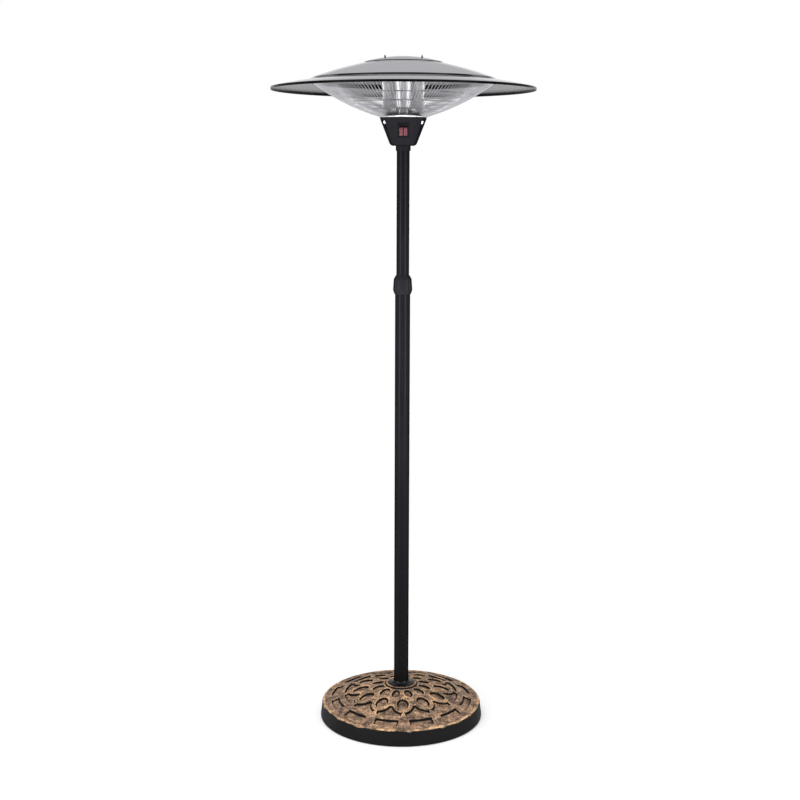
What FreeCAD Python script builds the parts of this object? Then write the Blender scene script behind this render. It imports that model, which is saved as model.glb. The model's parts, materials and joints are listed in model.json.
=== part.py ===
import FreeCAD, Part
import math
import os
from FreeCAD import Placement, Rotation, Vector

# Umbrella patio heater, in millimetres. Floor at z = 0, front towards -Y, pole on the Z axis.

# Fits
press_gap = 0.05
loose_gap = 0.2
slide_gap = 0.25
pin_gap = 0.08
seat_gap = 0.3

# Base casting and what is under it
foot_stand = 2.0
foot_pocket = 1.5
foot_radius = 11.0
foot_count = 6
foot_inset = 32.0
base_radius = 212.5
base_draft = 4.0
base_side = 32.0
base_chamfer = 3.0
lip_width = 11.0
lip_crest = 1.6
field_edge = 37.5
field_rise = 44.0
field_bulge = 3.0
hub_radius = 42.0
hub_ring_width = 8.0
hub_crest = 3.5
hub_seat = 1.0
socket_depth = 33.0
bolt_radius = 6.0
bolt_hole_gap = 0.5
bolt_head_flats = 18.0
bolt_head_height = 7.5
bolt_grip = 24.0
washer_radius = 18.0
washer_thickness = 2.5
counterbore_depth = 24.0
counterbore_gap = 1.0
plug_height = 34.0

# Relief on the base
relief_count = 12
relief_turn = 2.4
relief_depth = 4.2
panel_margin = 12.5
panel_reach = 20.0
panel_width = 60.0
spandrel_gap = 16.0
spandrel_reach = 36.0
stem_width = 13.0
petal_inset = 43.0
petal_long = 20.5
petal_wide = 14.8
petal_border = 11.5
arch_gap = 4.5
arch_long = 16.0
arch_wide = 9.75

# Pole
lower_od = 38.0
lower_wall = 1.5
lower_length = 1080.0
flange_radius = 33.4
flange_edge = 2.4
flange_height = 11.0
flange_wall = 1.7
upper_od = 32.0
upper_wall = 1.2
upper_length = 900.0
upper_shown = 307.0
bush_height = 10.0
bush_spigot = 18.0
bush_bore = 8.0

# Twist lock
sleeve_spigot = 35.0
sleeve_rim = 3.0
finger_height = 21.0
finger_base = 2.6
finger_tip = 1.4
finger_count = 6
finger_slit = 2.0
collar_skirt = 16.5
collar_height = 47.0
collar_belly = 24.3
collar_shoulder = 22.3
collar_lower_bevel = 11.0
collar_upper_bevel = 9.0
collar_wall = 1.2
rib_count = 12
rib_groove = 1.7

# Pole socket under the switch housing
neck_radius = 18.4
neck_length = 12.5
neck_chamfer = 1.2
socket_insert = 30.0
socket_flange = 24.4
socket_flange_height = 3.0
socket_roof = 4.0
socket_roof_bore = 11.0
socket_screw_radius = 1.5
socket_screw_head = 2.6
socket_screw_head_height = 2.0
socket_screw_bite = 2.0
socket_screw_count = 3
grub_radius = 2.5

# Switch housing
housing_height = 65.5
housing_top = 57.5
housing_foot = 31.7
housing_wall = 2.5
housing_corner = 10.0
screw_drop = 9.0
screw_radius = 2.0
screw_head = 4.25
screw_head_height = 2.4
screw_reach = 9.0
screw_seat = 1.4
boss_radius = 4.8
screw_angles = (-150.0, -30.0, 90.0)
gasket_height = 1.5
trim_height = 8.0
trim_ledge = 2.5
trim_foot = 1.0
trim_overhang = 1.0
trim_wall = 1.0

# Double rocker switch, drawn square to its own face
pad_width = 30.0
pad_height = 39.0
pad_proud = 0.8
pad_depth = 8.0
switch_drop = 30.0
bezel_width = 26.0
bezel_height = 34.0
bezel_thickness = 2.4
bezel_corner = 2.5
switch_body_width = 21.5
switch_body_height = 27.5
switch_body_depth = 21.0
rocker_width = 8.6
rocker_half = 10.8
rocker_peak = 3.2
rocker_valley = 1.1
rocker_tail = 5.6
rocker_pivot = 2.4
rocker_tilt = 10.0
well_gap = 0.35
well_end_gap = 1.0
well_depth = 11.0
well_divider = 1.3
rocker_pin_radius = 1.2
tab_width = 6.3
tab_thickness = 0.8
tab_length = 8.0
tab_pitch = 9.0

# Cable gland at the back
gland_rise = 30.5
gland_boss_radius = 13.0
gland_boss_length = 13.5
gland_thread = 8.0
gland_flats = 22.0
gland_hex = 5.0
gland_stub = 9.0
gland_bore = 5.0
gland_cap_radius = 11.0
gland_cap_end = 5.0
gland_inlet = 4.2

# Lamp deck and what hangs under it
deck_plate = 1.5
deck_skirt_wall = 1.2
deck_skirt_depth = 18.0
deck_hole = 14.0
grommet_lip = 1.5
grommet_bore = 12.0
block_length = 46.0
block_width = 16.0
block_height = 15.0
block_standoff = 3.0
block_leg = 2.5
block_leg_pitch = 38.0
tilt_radius = 7.0
tilt_height = 15.0
tilt_offset = 28.0

# Lamp column
lamp_count = 4
lamp_length = 118.0
lamp_offset = 34.0
quartz_radius = 5.0
quartz_wall = 1.0
quartz_end = 3.0
filament_radius = 0.9
cap_radius = 5.8
cap_length = 13.0
holder_radius = 9.0
holder_floor = 4.0
holder_socket = 8.0
ridge_radius = 51.0
ridge_flange = 10.0
ridge_seam = 0.3
trough_radius = 17.0
reflector_sheet = 0.8
lead_count = 4
lead_radius = 1.6
lead_pitch = 6.0
top_plate_radius = 72.0
top_plate_sheet = 1.5

# Canopy
shade_radius = 325.0
shade_sheet = 1.2
cap_edge = 98.0
cap_rise = 14.3
cap_step = 2.4
dome_edge = 227.0
dome_drop = 37.0
dome_bulge = 2.6
dome_step = 5.0
brim_drop = 17.0
rim_lip = 4.0
spacer_height = 8.85
spacer_radius = 4.5
stud_circle = 63.2
stud_radius = 2.1
stud_head = 4.2
stud_head_height = 2.4
stud_show = 6.0
stud_point = 4.5

# Wire guard
guard_count = 144
guard_wire = 0.9
guard_sides = 6
guard_spans = 3
hem_wall = 2.1
hem_height = 4.5
hem_lift = 1.2
crown_wall = 2.5
crown_height = 10.0
crown_lift = 2.2
guard_sag = 8.0
guard_ring_wire = 1.4
guard_ring_gap = 0.15
guard_ring_radii = (100.0, 139.0, 176.0)


# Heights that follow from the sizes above
base_z = foot_stand
field_edge_z = base_z + field_edge
field_hub_z = field_edge_z + field_rise
hub_seat_z = field_hub_z + hub_seat
socket_z = hub_seat_z - socket_depth
counterbore_z = base_z + counterbore_depth
lower_top_z = socket_z + lower_length
sleeve_top_z = lower_top_z + sleeve_rim
collar_z = lower_top_z - collar_skirt
collar_top_z = collar_z + collar_height
neck_z = collar_top_z + upper_shown
housing_z = neck_z + neck_length
floor_z = housing_z + housing_wall
upper_top_z = neck_z + socket_insert
upper_z = upper_top_z - upper_length
rim_z = housing_z + housing_height
trim_z = rim_z + gasket_height
ledge_z = trim_z + trim_ledge
trim_top_z = trim_z + trim_height
hem_z = trim_z + trim_foot
deck_z = ledge_z
deck_top_z = deck_z + deck_plate
lamp_z = deck_top_z + holder_floor
plate_z = lamp_z + lamp_length + holder_floor
plate_top_z = plate_z + top_plate_sheet

# Radii that follow from the sizes above
lower_r = lower_od / 2
lower_bore = lower_r - lower_wall
upper_r = upper_od / 2
upper_bore = upper_r - upper_wall
field_radius = base_radius - base_draft - lip_width
taper = (housing_top - housing_foot) / housing_height
taper_angle = math.atan(taper)
wall_span = housing_wall / math.cos(taper_angle)
trim_radius = housing_top + trim_overhang
hem_outer = trim_radius
hem_inner = hem_outer - hem_wall
trim_upright = hem_inner - loose_gap / 2
trim_rebate = trim_upright - trim_wall
deck_radius = trim_rebate - loose_gap
screw_z = rim_z - screw_drop
skirt_radius = housing_top - screw_drop * taper - wall_span - boss_radius * taper - 1.5
crown_outer = dome_edge - shade_sheet - seat_gap
crown_inner = crown_outer - crown_wall

# Canopy heights, counted from where the spacers meet the sheet
stud_seat_z = plate_top_z + spacer_height
apex_z = stud_seat_z + shade_sheet + cap_rise * (stud_circle / cap_edge) ** 2
cap_edge_z = apex_z - cap_rise
dome_top_z = cap_edge_z - cap_step
dome_edge_z = dome_top_z - dome_drop
brim_z = dome_edge_z - dome_step
shade_rim_z = brim_z - brim_drop


def at(point):
    return Vector(point[0], 0, point[1])


def outward(shape):
    if shape.Volume < 0:
        shape.reverse()
    return shape


def lathe(start, *sides):
    # A side is the point where it ends, or for an arc a pair: a point on the way, and the end.
    edges = []
    here = start
    for side in sides + (start,):
        if isinstance(side[0], tuple):
            via, end = side
            edges.append(Part.Arc(at(here), at(via), at(end)).toShape())
        else:
            end = side
            if end != here:
                edges.append(Part.makeLine(at(here), at(end)))
        here = end
    face = Part.Face(Part.Wire(edges))
    return outward(face.revolve(Vector(0, 0, 0), Vector(0, 0, 1), 360))


def rounded(before, corner, after, radius):
    # The two ends and the middle of the arc that rounds one corner of an outline.
    a = at(before) - at(corner)
    b = at(after) - at(corner)
    half = a.getAngle(b) / 2
    a.normalize()
    b.normalize()
    reach = radius / math.tan(half)
    first = at(corner) + a * reach
    last = at(corner) + b * reach
    inward = (a + b).normalize()
    middle = at(corner) + inward * (radius / math.sin(half) - radius)
    return (first.x, first.z), (middle.x, middle.z), (last.x, last.z)


def tube(outer, inner, low, high):
    return lathe((inner, low), (outer, low), (outer, high), (inner, high))


def rod(radius, low, high, x=0.0, y=0.0):
    return Part.makeCylinder(radius, high - low, Vector(x, y, low))


def hexagon(flats, low, high):
    reach = flats / math.sqrt(3)
    corners = [Vector(reach * math.cos(math.radians(60 * k)), reach * math.sin(math.radians(60 * k)), low)
               for k in range(7)]
    return Part.Face(Part.makePolygon(corners)).extrude(Vector(0, 0, high - low))


def block(x0, x1, y0, y1, z0, z1):
    return Part.makeBox(x1 - x0, y1 - y0, z1 - z0, Vector(x0, y0, z0))


def turned(shape, angle):
    copy = shape.copy()
    copy.rotate(Vector(0, 0, 0), Vector(0, 0, 1), angle)
    return copy


def around(shape, count, first=0.0):
    return [turned(shape, first + 360.0 * k / count) for k in range(count)]


def lying(shape, angle, height):
    # Turns a piece drawn along +Z so that it points away from the pole at this angle and height.
    copy = shape.copy()
    copy.Placement = Placement(Vector(0, 0, height), Rotation(Vector(0, 1, 0), 90))
    return turned(copy, angle)


def group(solids):
    return Part.makeCompound(solids)


# Base

def field_profile(drop):
    outer = (field_radius, field_edge_z - drop)
    inner = (hub_radius, field_hub_z - drop)
    slope = math.hypot(inner[0] - outer[0], inner[1] - outer[1])
    middle = ((outer[0] + inner[0]) / 2 + field_bulge * field_rise / slope,
              (outer[1] + inner[1]) / 2 + field_bulge * (outer[0] - inner[0]) / slope)
    return outer, middle, inner


def oval(radius, long_half, wide_half):
    longer = max(long_half, wide_half)
    shorter = min(long_half, wide_half)
    if long_half >= wide_half:
        ends = (Vector(radius + longer, 0, 0), Vector(radius, shorter, 0))
    else:
        ends = (Vector(radius, longer, 0), Vector(radius - shorter, 0, 0))
    curve = Part.Ellipse(ends[0], ends[1], Vector(radius, 0, 0))
    return Part.Face(Part.Wire([curve.toShape()]))


def arc_band(inner, outer, half_width):
    # Area between two circles about the pole, with two sides parallel to its own middle line.
    def corner(radius, side):
        return Vector(math.sqrt(radius ** 2 - half_width ** 2), side * half_width, 0)
    edges = [Part.makeLine(corner(inner, 1), corner(outer, 1)),
             Part.Arc(corner(outer, 1), Vector(outer, 0, 0), corner(outer, -1)).toShape(),
             Part.makeLine(corner(outer, -1), corner(inner, -1)),
             Part.Arc(corner(inner, -1), Vector(inner, 0, 0), corner(inner, 1)).toShape()]
    return Part.Face(Part.Wire(edges))


def relief_cutters():
    tall = field_hub_z + hub_crest
    step = 360.0 / relief_count
    panel_outer = field_radius - panel_margin
    spandrel_outer = panel_outer - panel_reach - spandrel_gap
    petal_radius = spandrel_outer - petal_inset
    arch_radius = hub_radius + arch_gap + arch_long
    panel = arc_band(panel_outer - panel_reach, panel_outer, panel_width / 2)
    petal = oval(petal_radius, petal_long, petal_wide)
    border = oval(petal_radius, petal_long + petal_border, petal_wide + petal_border)
    arch = oval(arch_radius, arch_long, arch_wide)
    spandrel_half = spandrel_outer * math.sin(math.radians(step / 2)) - stem_width / 2
    spandrel = arc_band(spandrel_outer - spandrel_reach, spandrel_outer, spandrel_half)
    spandrel = spandrel.cut([turned(border, -step / 2), turned(border, step / 2)])
    outer_piece = max(spandrel.Faces, key=lambda face: face.CenterOfMass.x)
    outer, middle, inner = field_profile(relief_depth)
    lowered = lathe((0, base_z), (base_radius, base_z), (base_radius, outer[1]), outer, (middle, inner),
                    (0, inner[1]))
    cutters = []
    for outline, first in ((panel, step / 2), (petal, 0.0), (outer_piece, step / 2), (arch, step / 2)):
        outline.translate(Vector(0, 0, base_z))
        recess = outline.extrude(Vector(0, 0, tall)).cut(lowered)
        cutters += around(recess, relief_count, first - 90 + relief_turn)
    return cutters


def base_casting():
    side_top = (base_radius - base_draft, base_z + base_side)
    outer, middle, inner = field_profile(0)
    lip_top = (field_radius + lip_width / 2, field_edge_z + lip_crest)
    hub_inner = hub_radius - hub_ring_width
    hub_top = (hub_radius - hub_ring_width / 2, field_hub_z + hub_crest)
    bolt_hole = bolt_radius + bolt_hole_gap
    socket = lower_r + loose_gap
    counterbore = washer_radius + counterbore_gap
    body = lathe((counterbore, base_z), (base_radius - base_chamfer, base_z),
                 (base_radius, base_z + base_chamfer), side_top, (lip_top, outer), (middle, inner),
                 (hub_top, (hub_inner, hub_seat_z)), (socket, hub_seat_z), (socket, socket_z),
                 (bolt_hole, socket_z), (bolt_hole, counterbore_z), (counterbore, counterbore_z))
    pocket = rod(foot_radius + loose_gap, base_z - 1, base_z + foot_pocket, base_radius - foot_inset)
    return body.cut(around(pocket, foot_count, 30) + relief_cutters())


def base_feet():
    top = base_z + foot_pocket
    pad = lathe((0, 0), (foot_radius - 1, 0), (foot_radius, base_z), (foot_radius, top), (0, top))
    pad.translate(Vector(base_radius - foot_inset, 0, 0))
    return group(around(pad, foot_count, 30))


def base_washer():
    return tube(washer_radius, bolt_radius + bolt_hole_gap, counterbore_z - washer_thickness, counterbore_z)


def base_bolt():
    under = counterbore_z - washer_thickness
    head = hexagon(bolt_head_flats, under - bolt_head_height, under)
    return head.fuse(rod(bolt_radius, under, socket_z + bolt_grip))


def tube_foot_plug():
    radius = lower_bore - press_gap
    return tube(radius, bolt_radius + press_gap, socket_z, socket_z + plug_height)


def base_flange():
    bore = lower_r + loose_gap
    z = hub_seat_z
    crown = z + flange_height
    knee = (bore + flange_wall + 2, z + flange_height * 0.6)
    edge = (flange_radius - 3.2, z + flange_edge + 1.0)
    return lathe((flange_radius - flange_wall, z), (flange_radius, z), (flange_radius, z + flange_edge), edge,
                 knee, (bore + flange_wall, crown), (bore, crown), (bore, knee[1] - flange_wall),
                 (edge[0] - flange_wall, edge[1] - flange_wall), (flange_radius - flange_wall, z + 0.8))


# Pole and twist lock

def lower_tube():
    return tube(lower_r, lower_bore, socket_z, lower_top_z)


def sleeve_bore():
    return upper_r + slide_gap


def clamp_sleeve():
    bore = sleeve_bore()
    spigot = lower_bore - press_gap
    tip = sleeve_top_z + finger_height
    body = lathe((bore, lower_top_z - sleeve_spigot), (spigot, lower_top_z - sleeve_spigot),
                 (spigot, lower_top_z), (lower_r, lower_top_z), (lower_r, sleeve_top_z),
                 (bore + finger_base, sleeve_top_z), (bore + finger_tip, tip), (bore, tip))
    slit = block(0, lower_r + 1, -finger_slit / 2, finger_slit / 2, sleeve_top_z + 2, tip + 1)
    return body.cut(around(slit, finger_count, 30))


def lock_collar():
    bore = sleeve_bore()
    skirt = lower_r + slide_gap
    step_z = sleeve_top_z + slide_gap
    tip_z = sleeve_top_z + finger_height + seat_gap
    belly_z = collar_z + collar_lower_bevel
    shoulder_z = collar_top_z - collar_upper_bevel
    throat = upper_r + seat_gap
    body = lathe((skirt, collar_z), (skirt + collar_wall, collar_z), (collar_belly, belly_z),
                 (collar_shoulder, shoulder_z), (throat + collar_wall, collar_top_z), (throat, collar_top_z),
                 (throat, tip_z), (bore + finger_tip + slide_gap, tip_z),
                 (bore + finger_base + slide_gap, step_z), (skirt, step_z))
    groove = rod(rib_groove, collar_z - 1, collar_top_z + 1, collar_belly)
    return body.cut(around(groove, rib_count, 15))


def upper_tube():
    return tube(upper_r, upper_bore, upper_z, upper_top_z)


def guide_bush():
    outer = lower_bore - slide_gap
    spigot = upper_bore - slide_gap
    low = upper_z - bush_height
    return lathe((bush_bore, low), (outer - 1, low), (outer, low + 1), (outer, upper_z), (spigot, upper_z),
                 (spigot, upper_z + bush_spigot), (bush_bore, upper_z + bush_spigot))


# Switch housing

def housing_radius(z):
    return housing_top - (rim_z - z) * taper


def socket_screw_circle():
    return (neck_radius + socket_flange) / 2


def socket_screw_hole(low, high):
    return rod(socket_screw_radius + press_gap, low, high, socket_screw_circle())


def pole_socket():
    bore = upper_r + press_gap
    roof = upper_top_z + socket_roof
    flange_top = floor_z + socket_flange_height
    body = lathe((bore, neck_z), (neck_radius - neck_chamfer, neck_z), (neck_radius, neck_z + neck_chamfer),
                 (neck_radius, floor_z), (socket_flange, floor_z), (socket_flange, flange_top),
                 (neck_radius, flange_top), (neck_radius, roof), (socket_roof_bore, roof),
                 (socket_roof_bore, upper_top_z), (bore, upper_top_z))
    holes = around(socket_screw_hole(floor_z - 1, flange_top + 1), socket_screw_count, 30)
    grub = lying(Part.makeCylinder(grub_radius + press_gap, neck_radius + 5), 90, neck_z + neck_length / 2)
    grub = grub.cut(rod(upper_r, neck_z - 1, roof))
    return body.cut(holes + [grub])


def socket_screws():
    flange_top = floor_z + socket_flange_height
    head = rod(socket_screw_head, flange_top, flange_top + socket_screw_head_height, socket_screw_circle())
    shank = rod(socket_screw_radius, floor_z - socket_screw_bite, flange_top, socket_screw_circle())
    return group(around(head.fuse(shank), socket_screw_count, 30))


def socket_grub():
    length = neck_radius - upper_r - 2 * press_gap
    screw = Part.makeCylinder(grub_radius, length, Vector(0, 0, upper_r + press_gap))
    return lying(screw, 90, neck_z + neck_length / 2)


def housing_shell(inset):
    # The cup's outline, moved in by the wall for its inside.
    low = housing_z + inset
    span = inset / math.cos(taper_angle)
    top = (housing_top - span, rim_z)
    corner = (housing_radius(low) - span, low)
    first, middle, last = rounded((0, low), corner, top, housing_corner - inset)
    return lathe((0, low), first, (middle, last), top, (0, rim_z))


def switch_frame_placement():
    reach = housing_radius(rim_z - switch_drop) + pad_proud / math.cos(taper_angle)
    c = math.cos(taper_angle)
    s = math.sin(taper_angle)
    turn = Rotation(Vector(1, 0, 0), Vector(0, -s, c), Vector(0, -c, -s), "XYZ")
    return Placement(Vector(0, -reach, rim_z - switch_drop), turn)


def on_switch_face(shape):
    copy = shape.copy()
    copy.Placement = switch_frame_placement().multiply(copy.Placement)
    return copy


def gland_z():
    return housing_z + gland_rise


def gland_face():
    return housing_radius(gland_z() + gland_boss_radius) + 0.5


def gland_piece(shape):
    return lying(shape, 90, gland_z())


def switch_housing():
    inside = housing_shell(housing_wall)
    pad = on_switch_face(block(-pad_width / 2, pad_width / 2, -pad_height / 2, pad_height / 2, -pad_depth, 0))
    opening = on_switch_face(block(-switch_body_width / 2 - loose_gap, switch_body_width / 2 + loose_gap,
                                   -switch_body_height / 2 - loose_gap, switch_body_height / 2 + loose_gap,
                                   -pad_depth - 8, 1))
    face = gland_face()
    boss = gland_piece(rod(gland_boss_radius, face - gland_boss_length, face))
    screw_boss = lying(rod(boss_radius, skirt_radius + loose_gap, housing_radius(screw_z)), 0, screw_z)
    screw_boss = screw_boss.common(housing_shell(0))
    seat = housing_radius(screw_z) - screw_seat
    spot_face = lying(rod(screw_head + seat_gap, seat, seat + 12), 0, screw_z)
    screw_hole = lying(rod(screw_radius + press_gap, skirt_radius - 3, seat + 1), 0, screw_z)
    floor_hole = rod(neck_radius + loose_gap, housing_z - 1, floor_z + 1)
    shell = housing_shell(0).fuse(pad).cut(inside)
    shell = shell.fuse([boss] + [turned(screw_boss, angle) for angle in screw_angles])
    holes = [opening, floor_hole, gland_piece(rod(gland_thread + loose_gap, 0, face + 5))]
    holes += around(socket_screw_hole(floor_z - socket_screw_bite, floor_z + 1), socket_screw_count, 30)
    for angle in screw_angles:
        holes += [turned(spot_face, angle), turned(screw_hole, angle)]
    return shell.cut(holes).removeSplitter().Solids[0]


def housing_screws():
    seat = housing_radius(screw_z) - screw_seat
    crown = seat + screw_head_height
    screw = lathe((0, seat - screw_reach), (screw_radius, seat - screw_reach), (screw_radius, seat),
                  (screw_head, seat), (screw_head, seat + 0.8),
                  ((screw_head * 0.75, crown - 0.4), (screw_head * 0.35, crown)), (0, crown))
    return group([lying(screw, angle, screw_z) for angle in screw_angles])


def ring_bore():
    return skirt_radius + loose_gap


def housing_gasket():
    return tube(housing_top - 0.6, ring_bore(), rim_z, trim_z)


def trim_ring():
    # A bright upright on a thin foot; the guard's hem stands on the foot, the lamp deck in the rebate.
    return lathe((ring_bore(), trim_z), (trim_radius, trim_z), (trim_radius, hem_z), (trim_upright, hem_z),
                 (trim_upright, trim_top_z), (trim_rebate, trim_top_z), (trim_rebate, ledge_z),
                 (ring_bore(), ledge_z))


# Switch

def rocker_x(side):
    return side * (rocker_width / 2 + well_gap + well_divider / 2)


def switch_frame():
    bezel = block(-bezel_width / 2, bezel_width / 2, -bezel_height / 2, bezel_height / 2, 0, bezel_thickness)
    corners = [edge for edge in bezel.Edges if abs(edge.Length - bezel_thickness) < 1e-6]
    bezel = bezel.makeFillet(bezel_corner, corners)
    body = block(-switch_body_width / 2, switch_body_width / 2, -switch_body_height / 2,
                 switch_body_height / 2, -switch_body_depth, 0)
    frame = bezel.fuse(body).removeSplitter()
    holes = []
    for side in (-1, 1):
        x = rocker_x(side)
        half = rocker_width / 2 + well_gap
        reach = rocker_half + well_end_gap
        holes.append(block(x - half, x + half, -reach, reach, bezel_thickness - well_depth,
                           bezel_thickness + 1))
    pin = Part.makeCylinder(rocker_pin_radius + press_gap / 2, rocker_pin_length(),
                            Vector(-rocker_pin_length() / 2, 0, pivot_depth()), Vector(1, 0, 0))
    return on_switch_face(frame.cut(holes + [pin]))


def pivot_depth():
    return bezel_thickness - rocker_pivot


def rocker_pin_length():
    return switch_body_width - 1.0


def rocker_pin():
    pin = Part.makeCylinder(rocker_pin_radius, rocker_pin_length(),
                            Vector(-rocker_pin_length() / 2, 0, pivot_depth()), Vector(1, 0, 0))
    return on_switch_face(pin)


def rocker(side):
    # Drawn level about its pivot, then tipped to the off position.
    x = rocker_x(side) - rocker_width / 2
    top = bezel_thickness
    outline = [(-rocker_half, rocker_peak), (0, rocker_valley), (rocker_half, rocker_peak),
               (rocker_half - 0.2, -1.4), (rocker_half * 0.45, -rocker_tail),
               (-rocker_half * 0.45, -rocker_tail), (-rocker_half + 0.2, -1.4)]
    corners = [Vector(x, y, top + z) for y, z in outline]
    body = Part.Face(Part.makePolygon(corners + corners[:1])).extrude(Vector(rocker_width, 0, 0))
    bore = Part.makeCylinder(rocker_pin_radius + pin_gap, rocker_width + 2, Vector(x - 1, 0, pivot_depth()),
                             Vector(1, 0, 0))
    body = outward(body).cut(bore)
    body.rotate(Vector(0, 0, pivot_depth()), Vector(1, 0, 0), rocker_tilt)
    return on_switch_face(body)


def switch_tabs():
    tabs = []
    for x in (-tab_width, tab_width):
        for y in (-tab_pitch, 0, tab_pitch):
            low = -switch_body_depth - tab_length
            tabs.append(block(x - tab_width / 2, x + tab_width / 2, y, y + tab_thickness, low,
                              -switch_body_depth))
    return group([on_switch_face(tab) for tab in tabs])


# Cable gland

def gland_body():
    face = gland_face()
    low = face - gland_boss_length - gland_hex - 2
    outer = face + gland_hex
    body = rod(gland_thread, low, outer + gland_stub).fuse(hexagon(gland_flats, face, outer))
    return gland_piece(body.cut(rod(gland_bore, low - 1, outer + gland_stub + 1)))


def gland_locknut():
    high = gland_face() - gland_boss_length
    nut = hexagon(gland_flats, high - gland_hex, high)
    return gland_piece(nut.cut(rod(gland_thread + press_gap, high - gland_hex - 1, high + 1)))


def gland_cap():
    low = gland_face() + gland_hex
    shoulder = low + gland_stub
    high = shoulder + gland_cap_end
    bore = gland_thread + press_gap
    cap = lathe((bore, low), (gland_cap_radius, low), (gland_cap_radius, shoulder - 1),
                (gland_cap_radius - 3, high), (gland_inlet, high), (gland_inlet, shoulder), (bore, shoulder))
    return gland_piece(cap)


# Lamp deck

def lamp_deck():
    low = deck_z - deck_skirt_depth
    body = lathe((deck_hole, deck_z), (skirt_radius - deck_skirt_wall, deck_z),
                 (skirt_radius - deck_skirt_wall, low), (skirt_radius, low), (skirt_radius, deck_z),
                 (deck_radius, deck_z), (deck_radius, deck_top_z), (deck_hole, deck_top_z))
    hole = lying(rod(screw_radius + press_gap, skirt_radius - 5, skirt_radius + 5), 0, screw_z)
    return body.cut([turned(hole, angle) for angle in screw_angles])


def deck_grommet():
    waist = deck_hole - press_gap
    lip = deck_hole + grommet_lip
    return lathe((grommet_bore, deck_z - grommet_lip), (lip, deck_z - grommet_lip), (lip, deck_z),
                 (waist, deck_z), (waist, deck_top_z), (lip, deck_top_z), (lip, deck_top_z + grommet_lip),
                 (grommet_bore, deck_top_z + grommet_lip))


def block_top():
    return deck_z - block_standoff


def terminal_block():
    body = block(-block_length / 2, block_length / 2, -block_width / 2, block_width / 2,
                 block_top() - block_height, block_top())
    legs = [rod(block_leg, block_top(), deck_z, side * block_leg_pitch / 2) for side in (-1, 1)]
    return body.fuse(legs)


def tilt_switch():
    can = rod(tilt_radius, deck_z - tilt_height, deck_z, 0, tilt_offset)
    return can


# Lamp column

def lamp_spot(shape, index):
    copy = shape.copy()
    copy.translate(Vector(lamp_offset, 0, 0))
    return turned(copy, 45 + 360.0 * index / lamp_count)


def lamp_quartz(index):
    low = lamp_z + cap_length
    high = lamp_z + lamp_length - cap_length
    glass = rod(quartz_radius, low, high).cut(rod(quartz_radius - quartz_wall, low + quartz_end,
                                                  high - quartz_end))
    return lamp_spot(glass, index)


def lamp_filament(index):
    coil = rod(filament_radius, lamp_z + cap_length + quartz_end,
               lamp_z + lamp_length - cap_length - quartz_end)
    return lamp_spot(coil, index)


def lamp_caps(index):
    high = lamp_z + lamp_length
    return group([lamp_spot(rod(cap_radius, lamp_z, lamp_z + cap_length), index),
                  lamp_spot(rod(cap_radius, high - cap_length, high), index)])


def lamp_holders(floor, mouth):
    # A ceramic cup between its floor on the sheet and its open mouth.
    low = min(floor, mouth)
    cup = rod(holder_radius, low, low + holder_floor + holder_socket)
    well = lamp_z if floor < mouth else lamp_z + lamp_length - holder_socket - 1
    cup = cup.cut(rod(cap_radius + loose_gap, well, well + holder_socket + 1))
    return group([lamp_spot(cup, index) for index in range(lamp_count)])


def lamp_reflector(index):
    t = reflector_sheet
    near = trough_radius / math.sqrt(2)
    far = ridge_radius
    rise = ridge_flange
    centre = (far ** 2 + rise ** 2 - 2 * near ** 2) / (2 * (far + rise) - 4 * near)
    radius = math.sqrt(2) * (centre - near)
    back = near - t / math.sqrt(2)
    knee = centre - math.sqrt((radius + t) ** 2 - (far - t - centre) ** 2)
    p = [Vector(x, y, 0) for x, y in ((far, ridge_seam), (far, rise), (near, near), (rise, far),
                                      (ridge_seam, far), (ridge_seam, far - t), (knee, far - t),
                                      (back, back), (far - t, knee), (far - t, ridge_seam))]
    edges = [Part.makeLine(p[0], p[1]), Part.Arc(p[1], p[2], p[3]).toShape(), Part.makeLine(p[3], p[4]),
             Part.makeLine(p[4], p[5]), Part.makeLine(p[5], p[6]), Part.Arc(p[6], p[7], p[8]).toShape(),
             Part.makeLine(p[8], p[9]), Part.makeLine(p[9], p[0])]
    sheet = Part.Face(Part.Wire(edges)).extrude(Vector(0, 0, plate_z - deck_top_z))
    sheet.translate(Vector(0, 0, deck_top_z))
    return turned(outward(sheet), 360.0 * index / lamp_count)


def lead_bundle():
    first = -lead_pitch * (lead_count - 1) / 2
    return group([rod(lead_radius, block_top(), plate_z, first + lead_pitch * k) for k in range(lead_count)])


# Canopy

def stud_spots(shape):
    copy = shape.copy()
    copy.translate(Vector(stud_circle, 0, 0))
    return around(copy, lamp_count, 45)


def column_top_plate():
    plate = rod(top_plate_radius, plate_z, plate_top_z)
    return plate.cut(stud_spots(rod(stud_radius + press_gap, plate_z - 1, plate_top_z + 1)))


def canopy_skin(drop, inset):
    # The corners of one side of the canopy's sheet, from its middle out to its rim.
    return {
        "apex": (0, apex_z - drop),
        "cap_via": (cap_edge * 0.5, apex_z - drop - cap_rise * 0.25),
        "cap_end": (cap_edge - inset, cap_edge_z - drop),
        "dome_start": (cap_edge - inset, dome_top_z - drop),
        "dome_via": ((cap_edge + dome_edge) / 2, (dome_top_z + dome_edge_z) / 2 + dome_bulge - drop),
        "dome_end": (dome_edge - inset, dome_edge_z - drop),
        "brim_start": (dome_edge - inset, brim_z - drop),
        "brim_end": (shade_radius - inset, shade_rim_z - drop),
    }


def canopy_spacers():
    # Each spacer's upper end is cut to the slope of the sheet that it carries.
    under = canopy_skin(shade_sheet + seat_gap, shade_sheet)
    above = lathe(under["apex"], (under["cap_via"], under["cap_end"]), (under["cap_end"][0], apex_z),
                  (0, apex_z))
    spacer = tube(spacer_radius, stud_radius + press_gap, plate_top_z, stud_seat_z + spacer_radius / 2)
    return group([piece.cut(above).Solids[0] for piece in stud_spots(spacer)])


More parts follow.
